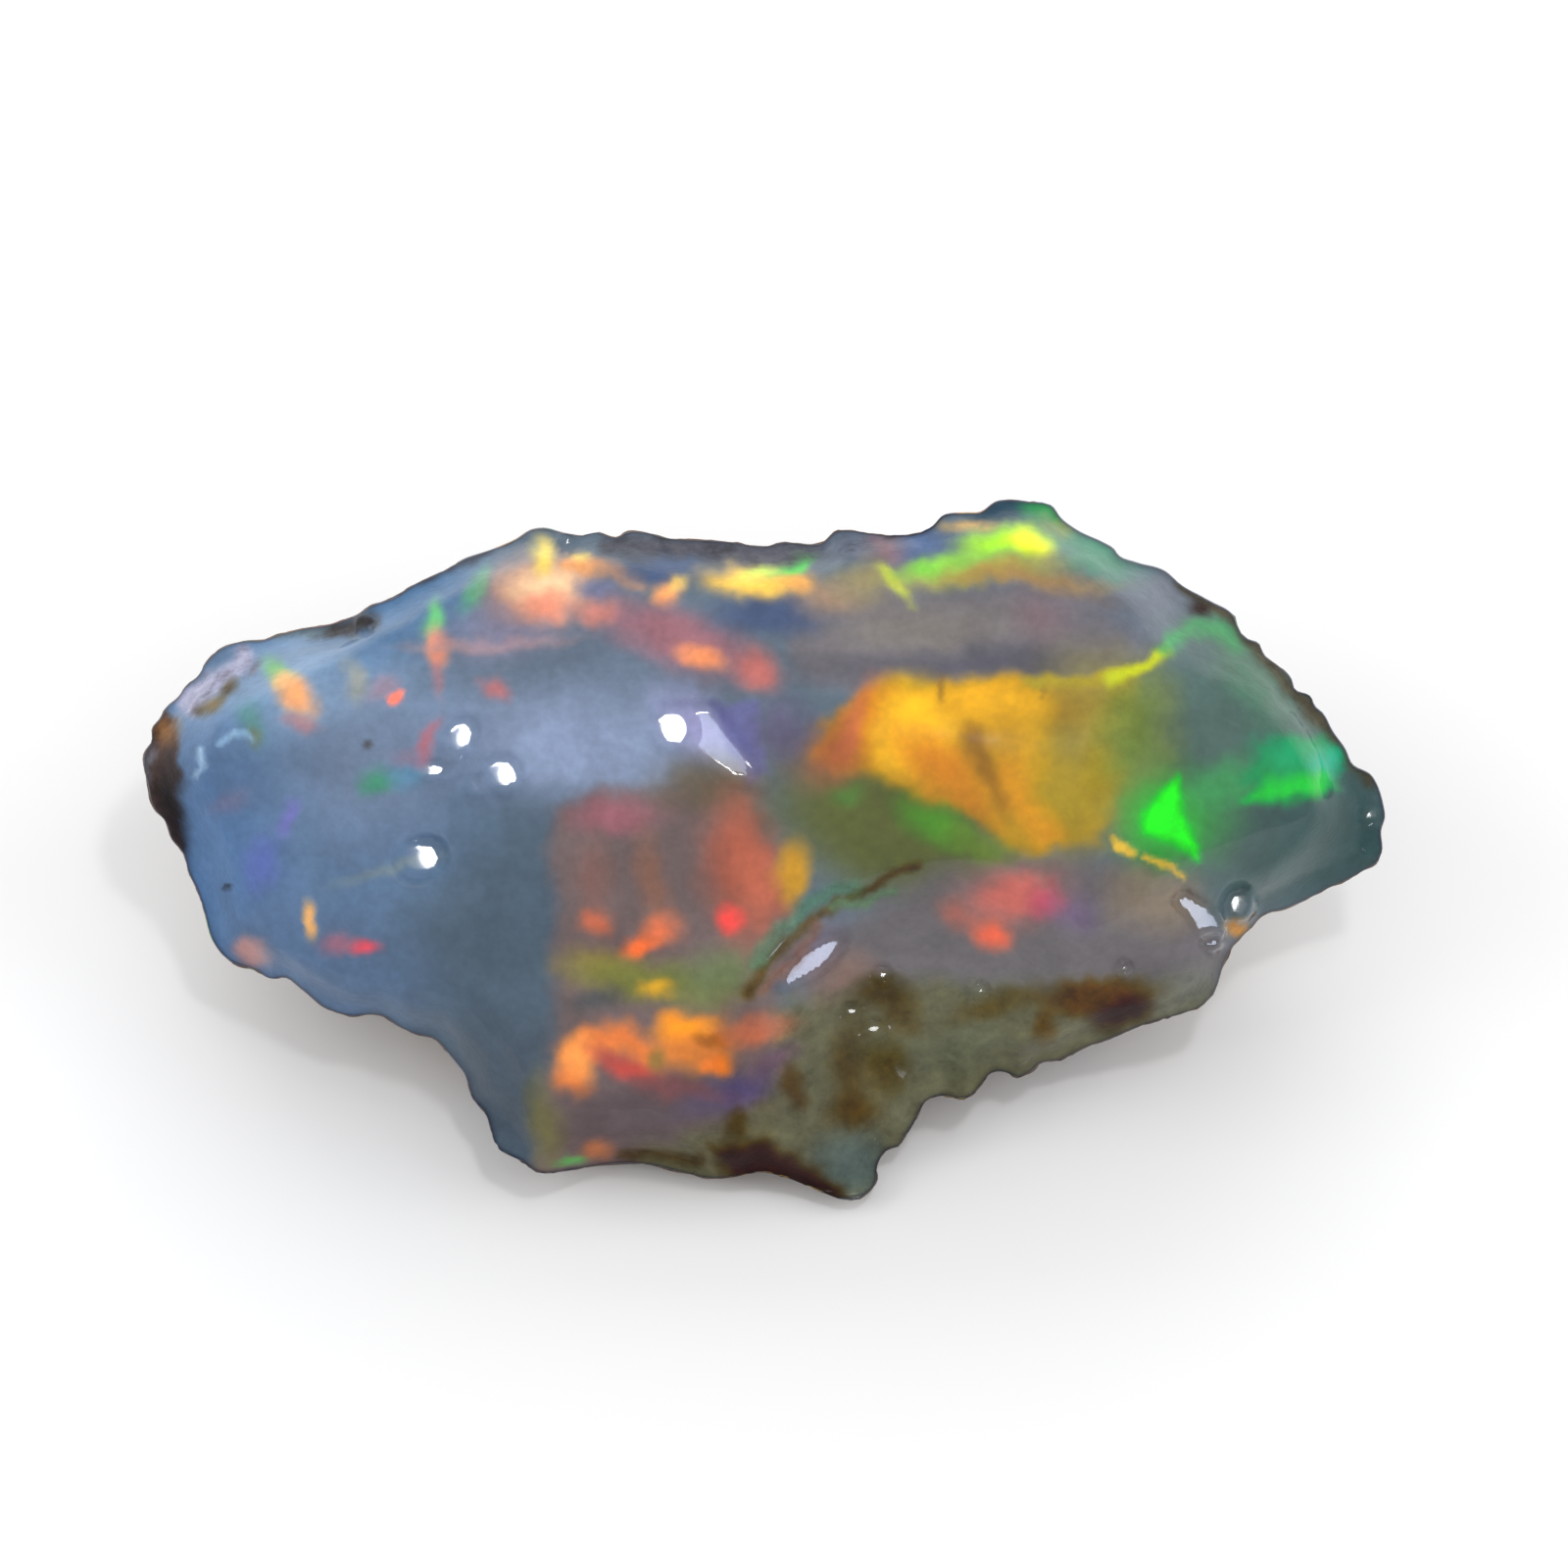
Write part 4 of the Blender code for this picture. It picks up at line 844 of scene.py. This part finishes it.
def painted(spots, distance):
    """The colour of the front at each spot, how much it glows as a flash and how dull it is."""
    moved = spots.copy()
    for (size, reach), seeds in zip(WANDER, WANDER_SEEDS):
        shift = [lumps(spots, size, 2.0 * reach, seed) for seed in seeds]
        moved = moved + np.column_stack(shift)
    colour = np.tile(np.array(BODY_COLOUR, float), (len(spots), 1))
    glow = np.zeros(len(spots))
    dull = np.zeros(len(spots))
    for layer, glows in LAYERS:
        for name, cover, shade, strength in layer:
            share = strength * cover(moved)
            colour += share[:, None] * (np.array(shade) - colour)
            glow += share * (glows - glow)
            if layer is STAINS or "matrix" in name:
                dull = np.maximum(dull, share * (1.0 if layer is STAINS else MATRIX_DULL))
    # Painted shade: a thin dark line along the outline, which also takes away the glow there
    line = EDGE_SHADE_SHARE * (1.0 - fade(0.0, EDGE_SHADE_WIDTH, distance))
    colour += line[:, None] * (np.array(EDGE_SHADE_COLOUR) - colour)
    veil = VEIL * (1.0 - (1.0 - DULL_VEIL) * dull[:, None])
    seen = np.maximum(linear(colour / 255.0) - veil, DARKEST)
    return seen, glow * (1.0 - line), dull


def tipped(place):
    """A point of the view, tipped back on to the rest face: x right, y away, z up."""
    tilt = math.radians(LOOK_DOWN)
    u, v, w = place
    return Vector((u, v * math.sin(tilt) - w * math.cos(tilt),
                   v * math.cos(tilt) + w * math.sin(tilt) - REST_HEIGHT))


def evenness(spots):
    """How much of a small shiny pane or dome covers each spot."""
    return np.max([cover(spots) for cover, _, _ in GLINTS], axis=0)


def glinting(spots, height):
    """The front with its small shiny domes and panes, each turned to a lamp or a window."""
    for cover, bend, (lean_u, lean_v) in GLINTS:
        share = cover(spots)
        du, dv = (spots - np.average(spots, axis=0, weights=share)).T
        middle = np.average(height, weights=share)
        dome = middle + lean_u * du + lean_v * dv - (du**2 + dv**2) / (2.0 * bend)
        height = height + share * (dome - height)
    return height


def glossy_front(spots, distance, calm):
    """The front of the stone with its shiny spots."""
    return glinting(spots, front_height(spots, distance, calm))


def stone_shape(rim):
    """The whole stone as one closed shape, as it is looked at."""
    stone = bmesh.new()
    for spacing, seed, height_of, turned in ((FRONT_STEP, JITTER_SEED, glossy_front, False),
                                             (BACK_STEP, JITTER_SEED + 1, back_height, True)):
        points, triangles = skin(rim, spacing, seed, height_of)
        corners = [stone.verts.new(point) for point in points]
        for triangle in triangles:
            loop = [corners[i] for i in triangle]
            stone.faces.new(loop[::-1] if turned else loop)
    bmesh.ops.remove_doubles(stone, verts=stone.verts, dist=ON_RIM)
    weather(stone, rim)
    stone.normal_update()
    return stone


def stone_marks(stone, rim):
    """The colour of each point of the stone, and the other marks that its finish follows."""
    places = np.array([corner.co for corner in stone.verts])
    facing = np.array([corner.normal.z for corner in stone.verts])
    spots = places[:, :2]
    edge = edge_distance(spots, rim)
    ahead = np.where(places[:, 2] > belt(spots), 1.0, 0.0)
    colour, glow, dull = painted(spots, edge)
    front = ahead * fade(*FACES_EYE, facing)
    crust = np.where(ahead > 0, SIDE_RIND, BACK_RIND)
    for size, reach in RIND_BREAKS:
        crust += [reach * noise.noise(corner.co / size) for corner in stone.verts]
    crust *= 1.0 - ahead * np.maximum(fade(*FACES_SIDE, facing), fade(*CREEPS_IN, edge))
    even = evenness(spots)
    shiny = np.maximum(fade(*SHEEN_FACES, facing) * fade(*SHEEN_STARTS, edge), even)
    sheen = SIDE_SHEEN + (1.0 - SIDE_SHEEN) * ahead * shiny
    for cover in SATIN_SPOTS:
        sheen *= 1.0 - ahead * cover(spots)
    sheen *= 1.0 - 4.0 * PANE_EDGE_DULL * even * (1.0 - even)
    return colour, {"glow": glow * front, "dull": dull * front, "front": front, "sheen": sheen,
                    "even": even * front, "rind": fade(*RIND_STARTS, crust)}


def stone_mesh(name):
    """The whole stone as one closed mesh in metres, and how far it was moved to its middle."""
    rim = smooth_loop(OUTLINE, RIM_STEP)
    stone = stone_shape(rim)
    colour, marks = stone_marks(stone, rim)
    for corner in stone.verts:
        corner.co = tipped(corner.co)
    places = np.array([corner.co for corner in stone.verts])
    middle = (places.min(axis=0) + places.max(axis=0)) / 2
    bmesh.ops.translate(stone, verts=stone.verts, vec=(-middle[0], -middle[1], 0.0))
    bmesh.ops.scale(stone, verts=stone.verts, vec=(MM, MM, MM))
    bmesh.ops.recalc_face_normals(stone, faces=stone.faces)

    mesh = bpy.data.meshes.new(name)
    stone.to_mesh(mesh)
    stone.free()
    paint = mesh.attributes.new("paint", "FLOAT_COLOR", "POINT")
    paint.data.foreach_set("color", np.column_stack([colour, np.ones(len(colour))]).ravel())
    for mark, values in marks.items():
        mesh.attributes.new(mark, "FLOAT", "POINT").data.foreach_set("value", values)
    return mesh, middle


class Wire:
    """A socket of a material, with operators that add Math nodes behind it."""

    def __init__(self, socket):
        self.socket = socket

    @staticmethod
    def add(tree, kind, settings=None, values=None, out=0):
        """A new node: its settings first, then the values or wires of its sockets."""
        node = tree.nodes.new(kind)
        for name, value in (settings or {}).items():
            if name == "stops":
                ramp = node.color_ramp
                while len(ramp.elements) < len(value):
                    ramp.elements.new(1.0)
                for element, (place, colour) in zip(ramp.elements, value):
                    element.position = place
                    element.color = (*colour, 1.0)
            else:
                setattr(node, name, value)
        for name, value in (values or {}).items():
            if isinstance(value, Wire):
                tree.links.new(value.socket, node.inputs[name])
            else:
                node.inputs[name].default_value = value
        return Wire(node.outputs[out])

    def more(self, kind, settings=None, values=None, out=0):
        """A new node in the same tree."""
        return Wire.add(self.socket.id_data, kind, settings, values, out)

    def math(self, operation, *values):
        """A new Math node in the same tree."""
        return self.more("ShaderNodeMath", {"operation": operation}, dict(enumerate(values)))

    def __add__(self, other):
        return self.math("ADD", self, other)

    def __radd__(self, other):
        return self.math("ADD", other, self)

    def __sub__(self, other):
        return self.math("SUBTRACT", self, other)

    def __rsub__(self, other):
        return self.math("SUBTRACT", other, self)

    def __mul__(self, other):
        return self.math("MULTIPLY", self, other)

    def __rmul__(self, other):
        return self.math("MULTIPLY", other, self)

    def tint(self, colour):
        """This colour times another."""
        return self.more("ShaderNodeMix", {"data_type": "RGBA", "blend_type": "MULTIPLY"},
                         {"Factor": 1.0, 6: self, 7: colour}, 2)

    def fade(self, low, high, start=0.0, end=1.0):
        """From start where this is at low to end where it is at high, with soft ends."""
        return self.more("ShaderNodeMapRange", {"interpolation_type": "SMOOTHSTEP"},
                         {"Value": self, "From Min": low, "From Max": high,
                          "To Min": start, "To Max": end})

    def blend(self, low, high, how="MIX"):
        """The colour low where this is 0 and high where it is 1."""
        return self.more("ShaderNodeMix", {"data_type": "RGBA", "blend_type": how},
                         {"Factor": self, 6: low, 7: high}, 2)

    def ramp(self, *stops):
        """The colour of this level, from stops of a level and a colour each."""
        return self.more("ShaderNodeValToRGB", {"stops": stops}, {"Fac": self})


def noisy(point, size, detail=2.0, roughness=0.5):
    """Soft noise on the stone. size is in metres."""
    return point.more("ShaderNodeTexNoise", {"noise_dimensions": "3D"},
                      {"Vector": point, "Scale": 1.0 / size, "Detail": detail,
                       "Roughness": roughness})


def grey(level):
    """A grey for a colour socket."""
    return (level, level, level, 1.0)


# Noises of the stone's finish: the size in metres, the detail and the roughness of each
CLOUDS = (0.0013, 3.0, 0.55)
GRAIN = (0.00022, 2.0, 0.6)
DIRT = (0.0005, 4.0, 0.7)
HUES = (0.0024, 2.0, 0.5)
PATCHES = (0.0016, 3.0, 0.5)
MILK = (0.0042, 2.0, 0.5)
CRUMBS = (0.00030, 4.0, 0.75)
WIDE_SHADES = (0.0022, 4.0, 0.65)
SMEARS = (0.0009, 2.0, 0.5)
FINE_BUMPS = (0.00012, 3.0, 0.6)
WAVY_BUMPS = (0.0008, 2.0, 0.4)
# What dirt does to the colours under it, from its hollows to its crests
DIRT_TINTS = ((0.34, (0.55, 0.50, 0.45)), (0.48, (0.92, 0.90, 0.86)),
              (0.58, (1.14, 1.10, 1.02)), (0.70, (1.45, 1.36, 1.18)))
# Colours of the patches on the sides and the back, and how strong they are
HUE_STOPS = ((0.32, (0.10, 0.12, 0.34)), (0.42, (0.05, 0.34, 0.22)), (0.50, (0.36, 0.46, 0.08)),
             (0.57, (0.80, 0.42, 0.06)), (0.66, (0.62, 0.14, 0.10)))
PATCH_STRENGTH = 0.75
# The palest crumbs of the rind, and its warm and its cold shade
CHALK = (0.26, 0.24, 0.22)
WARM_SHADE = (1.10, 0.98, 0.86, 1.0)
COLD_SHADE = (0.55, 0.54, 0.58, 1.0)
# How far the rind's border is frayed, and between what levels it ends
RIND_FRAY = 1.2
RIND_ENDS = (0.38, 0.62)
# How much rougher the smears on the gloss are, the roughness of what is dull, and how much of
# its shine a dull spot loses
SMEAR_ROUGHNESS = 0.10
DULL_ROUGHNESS = 0.62
DULL_LOSS = 0.8
# The constant sockets of the stone's shader and of its bumps
STONE_SOCKETS = {"IOR": 1.45, "Coat Roughness": 0.06, "Coat IOR": 1.45, "Specular IOR Level": 0.15,
                 "Subsurface Weight": 0.15, "Subsurface Radius": (1.0, 1.0, 1.0),
                 "Subsurface Scale": 0.0003}
BUMP_SOCKETS = {"Strength": 0.45, "Distance": 0.00005}


def opal_material(look):
    """Milky opal with the painted flashes, and a dull brown rind where the stone has one."""
    material = bpy.data.materials.new("opal")
    material.use_nodes = True
    material.cycles.emission_sampling = "NONE"
    tree = material.node_tree
    shader = tree.nodes["Principled BSDF"]
    point = Wire.add(tree, "ShaderNodeTexCoord", out=3)
    drawn = Wire.add(tree, "ShaderNodeAttribute", {"attribute_name": "paint"})
    glow, rind, dull, faces_eye, sheen, even = [
        Wire.add(tree, "ShaderNodeAttribute", {"attribute_name": mark}, out=2)
        for mark in ("glow", "rind", "dull", "front", "sheen", "even")]

    # Milky clouds and fine grain inside the stone
    clouds = noisy(point, *CLOUDS).fade(0.3, 0.7).blend(grey(0.88), grey(1.12))
    grain = noisy(point, *GRAIN).fade(0.25, 0.75).blend(grey(0.93), grey(1.07))
    drawn = clouds.tint(drawn).tint(grain)
    dirt = noisy(point, *DIRT)
    drawn = dull.blend(drawn, drawn.tint(dirt.ramp(*DIRT_TINTS)))

    # The same stone on its sides and back, with patches of every colour
    spectrum = noisy(point, *HUES).ramp(*HUE_STOPS)
    patches = noisy(point, *PATCHES).fade(0.54, 0.64)
    milky = noisy(point, *MILK).fade(0.35, 0.65).blend(
        (*look.body_colour, 1.0), (*look.warm_colour, 1.0))
    side = (PATCH_STRENGTH * patches).blend(milky, spectrum).tint(clouds).tint(grain)
    opal = faces_eye.blend(side, drawn)

    # Rind: rust, earth and pale crumbs, broken up where it ends
    crumbs = noisy(point, *CRUMBS).ramp((0.30, look.rind_dark), (0.48, look.rind_colour),
                                        (0.64, look.rind_pale), (0.78, CHALK))
    wide = noisy(point, *WIDE_SHADES).fade(0.35, 0.65)
    crumbs = wide.blend(crumbs.tint(WARM_SHADE), crumbs.tint(COLD_SHADE))
    crusted = (rind + (dirt - 0.5) * RIND_FRAY).fade(*RIND_ENDS)

    link = tree.links.new
    link(crusted.blend(opal, crumbs).socket, shader.inputs["Base Color"])
    # The flashes give off light of their own, a painted glow set as emission
    lit = (glow * (1.0 - crusted)).blend(grey(0.0), drawn)
    link(lit.socket, shader.inputs["Emission Color"])
    rough = noisy(point, *SMEARS).fade(0.35, 0.7, look.gloss, look.gloss + SMEAR_ROUGHNESS)
    matte = 1.0 - sheen * (1.0 - crusted) * (1.0 - DULL_LOSS * dull)
    rough = rough + matte * (DULL_ROUGHNESS - rough)
    link(rough.socket, shader.inputs["Roughness"])
    link((1.0 - matte).socket, shader.inputs["Coat Weight"])

    # Fine bumps, strongest where the stone is dull, and faint waves, but none on its panes
    fine = noisy(point, *FINE_BUMPS) * (0.05 + 0.95 * matte)
    wavy = noisy(point, *WAVY_BUMPS) * 0.25
    bump = point.more("ShaderNodeBump", values={**BUMP_SOCKETS,
                                                "Height": (fine + wavy) * (1.0 - even)})
    link(bump.socket, shader.inputs["Normal"])

    for name, value in {**STONE_SOCKETS, "Emission Strength": look.glow}.items():
        shader.inputs[name].default_value = value
    return material


# How far above the rest face the fine relief starts and is full, and which relief it is
RELIEF_STARTS = (0.02 * MM, 0.35 * MM)
RELIEF_SEED = 3.0


def relief_tree(material):
    """Fine relief over the stone: soft ripples where it is glossy, crumbs where it has rind."""
    tree = bpy.data.node_groups.new("stone relief", "GeometryNodeTree")
    sockets = tree.interface
    sockets.new_socket("Stone", in_out="INPUT", socket_type="NodeSocketGeometry")
    for name in ("Ripple Size", "Ripple Height", "Crumb Size", "Crumb Height"):
        socket = sockets.new_socket(name, in_out="INPUT", socket_type="NodeSocketFloat")
        socket.subtype = "DISTANCE"
    sockets.new_socket("Seed", in_out="INPUT", socket_type="NodeSocketFloat")
    sockets.new_socket("Stone", in_out="OUTPUT", socket_type="NodeSocketGeometry")

    given = tree.nodes.new("NodeGroupInput")
    stone, ripple_size, ripple_height, crumb_size, crumb_height, seed = [
        Wire(socket) for socket in given.outputs[:6]]
    rind, dull, even = [
        Wire.add(tree, "GeometryNodeInputNamedAttribute", {"data_type": "FLOAT"}, {"Name": mark})
        for mark in ("rind", "dull", "even")]
    position = Wire.add(tree, "GeometryNodeInputPosition")
    normal = Wire.add(tree, "GeometryNodeInputNormal")
    height = Wire.add(tree, "ShaderNodeSeparateXYZ", None, {"Vector": position}, 2)

    def waves(size, detail):
        noise_field = Wire.add(tree, "ShaderNodeTexNoise", {"noise_dimensions": "4D"},
                               {"Vector": position, "W": seed,
                                "Scale": size.math("DIVIDE", 1.0, size), "Detail": detail})
        return noise_field - 0.5

    crumbly = (rind + 0.5 * dull).fade(0.3, 0.8)
    lift = (waves(ripple_size, 1.0) * ripple_height * (1.0 - crumbly)
            + waves(crumb_size, 3.0) * crumb_height * crumbly)
    lift = lift * height.fade(*RELIEF_STARTS) * (1.0 - even)
    offset = normal.more("ShaderNodeVectorMath", {"operation": "SCALE"},
                         {"Vector": normal, "Scale": lift})
    moved = stone.more("GeometryNodeSetPosition", None, {"Geometry": stone, "Offset": offset})
    real = moved.more("GeometryNodeRealizeInstances", None, {"Geometry": moved})
    done = real.more("GeometryNodeSetMaterial", None, {"Geometry": real, "Material": material})
    tree.links.new(done.socket, tree.nodes.new("NodeGroupOutput").inputs[0])
    return tree


def with_relief(mesh, material, look):
    """The stone's mesh with its fine relief on it."""
    draft = bpy.data.objects.new("draft", mesh)
    bpy.context.collection.objects.link(draft)
    relief = draft.modifiers.new("relief", "NODES")
    relief.node_group = relief_tree(material)
    values = {"Ripple Size": look.ripple_size, "Ripple Height": look.ripple_height,
              "Crumb Size": look.crumb_size, "Crumb Height": look.crumb_height,
              "Seed": RELIEF_SEED}
    for item in relief.node_group.interface.items_tree:
        if item.in_out == "INPUT" and item.name in values:
            relief[item.identifier] = values[item.name]
    bpy.context.view_layer.update()
    shown = draft.evaluated_get(bpy.context.evaluated_depsgraph_get())
    finished = bpy.data.meshes.new_from_object(shown)
    bpy.data.objects.remove(draft)
    return finished


def length(value, name, description):
    """A size that a user may change."""
    return bpy.props.FloatProperty(name=name, description=description, default=value,
                                   min=0.0, unit="LENGTH", precision=6)


def tone(value, name, description):
    """A colour that a user may change."""
    return bpy.props.FloatVectorProperty(name=name, description=description, default=value,
                                         min=0.0, max=1.0, size=3, subtype="COLOR")


def amount(value, name, description, most=1.0):
    """A plain number that a user may change."""
    return bpy.props.FloatProperty(name=name, description=description, default=value,
                                   min=0.0, max=most)


class OpalLook(bpy.types.PropertyGroup):
    """Colours, gloss and fine relief of the stone."""

    body_colour: tone((0.13, 0.18, 0.26), "Body", "Milky colour of the sides and back")
    warm_colour: tone((0.20, 0.15, 0.14), "Warm body", "Colour of their warmer parts")
    rind_dark: tone((0.030, 0.017, 0.010), "Dark rind", "Colour of the rind in its hollows")
    rind_colour: tone((0.120, 0.072, 0.038), "Rind", "Colour of most of the rind")
    rind_pale: tone((0.210, 0.155, 0.100), "Pale rind", "Colour of the crumbs of the rind")
    gloss: amount(0.16, "Roughness", "Roughness of the broken faces")
    glow: amount(0.12, "Glow", "How brightly the flashes of colour shine", 5.0)
    ripple_size: length(0.70 * MM, "Ripple size", "Width of the ripples on the glossy faces")
    ripple_height: length(0.020 * MM, "Ripple height", "Height of those ripples")
    crumb_size: length(0.42 * MM, "Crumb size", "Width of the crumbs of the rind")
    crumb_height: length(0.16 * MM, "Crumb height", "Height of those crumbs")


class OpalStage(bpy.types.PropertyGroup):
    """Floor, light and camera."""

    floor_colour: tone((0.90, 0.90, 0.90), "Floor", "Colour of the floor")
    floor_size: length(0.60, "Floor size", "Width of the floor")
    sky: amount(0.64, "Sky", "Strength of the light from all round", 10.0)
    lens: amount(400.0, "Lens", "Focal length of the camera in millimetres", 1000.0)
    frame_width: length(32.0 * MM, "Frame width", "Width of the picture at the stone")


class OPAL_OT_stone(bpy.types.Operator):
    """Make the stone in place of the plain CAD one"""

    bl_idname = "opal.stone"
    bl_label = "Make stone"

    def execute(self, context):
        look = context.scene.opal_look
        mesh, middle = stone_mesh("rough stone")
        mesh.shade_smooth()
        finished = with_relief(mesh, opal_material(look), look)
        finished.name = "rough_opal"
        stone = bpy.data.objects.new("rough_opal", finished)
        context.collection.objects.link(stone)
        stone["middle"] = middle[:2].tolist()
        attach(stone, "root")
        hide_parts("opal")
        return {"FINISHED"}


def aimed(thing, place, target):
    """Put a lamp or the camera at a place and turn it to a target."""
    thing.location = place
    thing.rotation_euler = (Vector(target) - Vector(place)).to_track_quat("-Z", "Y").to_euler()
    bpy.context.collection.objects.link(thing)


def turned(turn, height):
    """The way to a lamp, turned round the stone from the camera's side, in degrees."""
    turn, height = math.radians(turn), math.radians(height)
    return Vector((math.sin(turn) * math.cos(height), -math.cos(turn) * math.cos(height),
                   math.sin(height)))


def mirrored(climb):
    """The way to a lamp that a spot of the stone shows to the eye, from how the spot climbs."""
    square = Vector((-climb[0], -climb[1], 1.0)).normalized()
    way = 2.0 * square.z * square - Vector((0.0, 0.0, 1.0))
    return tipped(way) - tipped((0.0, 0.0, 0.0))


# The lamps: a name, the way to it, how far off, how wide and high, how bright, and if it is round.
# The boxes only light the stone. The lamp and the windows show in its gloss.
LAMPS = (
    ("left box", turned(-90, 35), 0.40, (0.30, 0.20), 2.4),
    ("right box", turned(90, 35), 0.40, (0.30, 0.20), 2.0),
    ("back box", turned(180, 35), 0.40, (0.40, 0.20), 2.4),
    ("lamp", mirrored(TO_LAMP), 0.30, (0.032, 0.032), 40.0, True),
    ("window", mirrored(TO_WINDOW), 0.36, (0.045, 0.045), 6.5),
    ("low window", mirrored(TO_LOW_WINDOW), 0.36, (0.040, 0.040), 14.0),
)
WINDOW_COLOUR = (0.72, 0.80, 1.0)


def lamp(target, name, way, away, size, radiance, disc=False):
    """A flat lamp that faces the stone."""
    light = bpy.data.lights.new(name, "AREA")
    light.shape = "DISK" if disc else "RECTANGLE"
    light.size, light.size_y = size
    area = size[0] * size[1] * (math.pi / 4 if disc else 1.0)
    light.energy = radiance * math.pi * area
    light.color = WINDOW_COLOUR if "window" in name else (1.0, 1.0, 1.0)
    thing = bpy.data.objects.new(name, light)
    thing.visible_glossy = "box" not in name
    aimed(thing, Vector(target) + away * way, target)


# The floor's faint clouds: their size in metres, and how much light is left in them
FLOOR_CLOUDS = 0.02
FLOOR_SHADE = 0.985


def plain_material(name, colour):
    """A dull floor with a faint unevenness in its colour."""
    material = bpy.data.materials.new(name)
    material.use_nodes = True
    tree = material.node_tree
    shader = tree.nodes["Principled BSDF"]
    point = Wire.add(tree, "ShaderNodeTexCoord", out=3)
    shade = [FLOOR_SHADE * part for part in colour]
    spots = noisy(point, FLOOR_CLOUDS).blend((*colour, 1.0), (*shade, 1.0))
    tree.links.new(spots.socket, shader.inputs["Base Color"])
    shader.inputs["Roughness"].default_value = 0.9
    shader.inputs["Specular IOR Level"].default_value = 0.1
    return material


class OPAL_OT_stage(bpy.types.Operator):
    """Make the floor, the lights and the camera"""

    bl_idname = "opal.stage"
    bl_label = "Make stage"

    def execute(self, context):
        stage = context.scene.opal_stage
        size = stage.floor_size / 2
        mesh = bpy.data.meshes.new("floor")
        mesh.from_pydata([(-size, -size, 0.0), (size, -size, 0.0), (size, size, 0.0),
                          (-size, size, 0.0)], [], [(0, 1, 2, 3)])
        mesh.materials.append(plain_material("floor", stage.floor_colour))
        floor = bpy.data.objects.new("floor", mesh)
        context.collection.objects.link(floor)

        middle = bpy.data.objects["rough_opal"]["middle"]
        target = (tipped(AIM) - Vector((middle[0], middle[1], 0.0))) * MM
        for facts in LAMPS:
            lamp(target, *facts)

        camera = bpy.data.cameras.new("camera")
        camera.lens = stage.lens
        camera.clip_start = 0.001
        away = stage.frame_width * stage.lens / camera.sensor_width
        look = math.radians(LOOK_DOWN)
        eye = bpy.data.objects.new("camera", camera)
        aimed(eye, target + away * Vector((0.0, -math.cos(look), math.sin(look))), target)
        context.scene.camera = eye

        world = bpy.data.worlds.new("sky")
        world.use_nodes = True
        world.node_tree.nodes["Background"].inputs["Color"].default_value = grey(1.0)
        world.node_tree.nodes["Background"].inputs["Strength"].default_value = stage.sky
        context.scene.world = world
        context.scene.view_settings.view_transform = "Standard"
        return {"FINISHED"}


class OPAL_PT_panel(bpy.types.Panel):
    """The stone and its stage"""

    bl_label = "Rough opal"
    bl_idname = "OPAL_PT_panel"
    bl_space_type = "VIEW_3D"
    bl_region_type = "UI"
    bl_category = "Opal"

    def draw(self, context):
        for settings, step in ((context.scene.opal_look, OPAL_OT_stone),
                               (context.scene.opal_stage, OPAL_OT_stage)):
            box = self.layout.box()
            for name in settings.__annotations__:
                box.prop(settings, name)
            box.operator(step.bl_idname)


CLASSES = (OpalLook, OpalStage, OPAL_OT_stone, OPAL_OT_stage, OPAL_PT_panel)


def register():
    for kind in CLASSES:
        bpy.utils.register_class(kind)
    bpy.types.Scene.opal_look = bpy.props.PointerProperty(type=OpalLook)
    bpy.types.Scene.opal_stage = bpy.props.PointerProperty(type=OpalStage)


def unregister():
    del bpy.types.Scene.opal_stage
    del bpy.types.Scene.opal_look
    for kind in reversed(CLASSES):
        bpy.utils.unregister_class(kind)


def main():
    register()
    bpy.ops.opal.stone()
    bpy.ops.opal.stage()


if __name__ == "__main__":
    main()
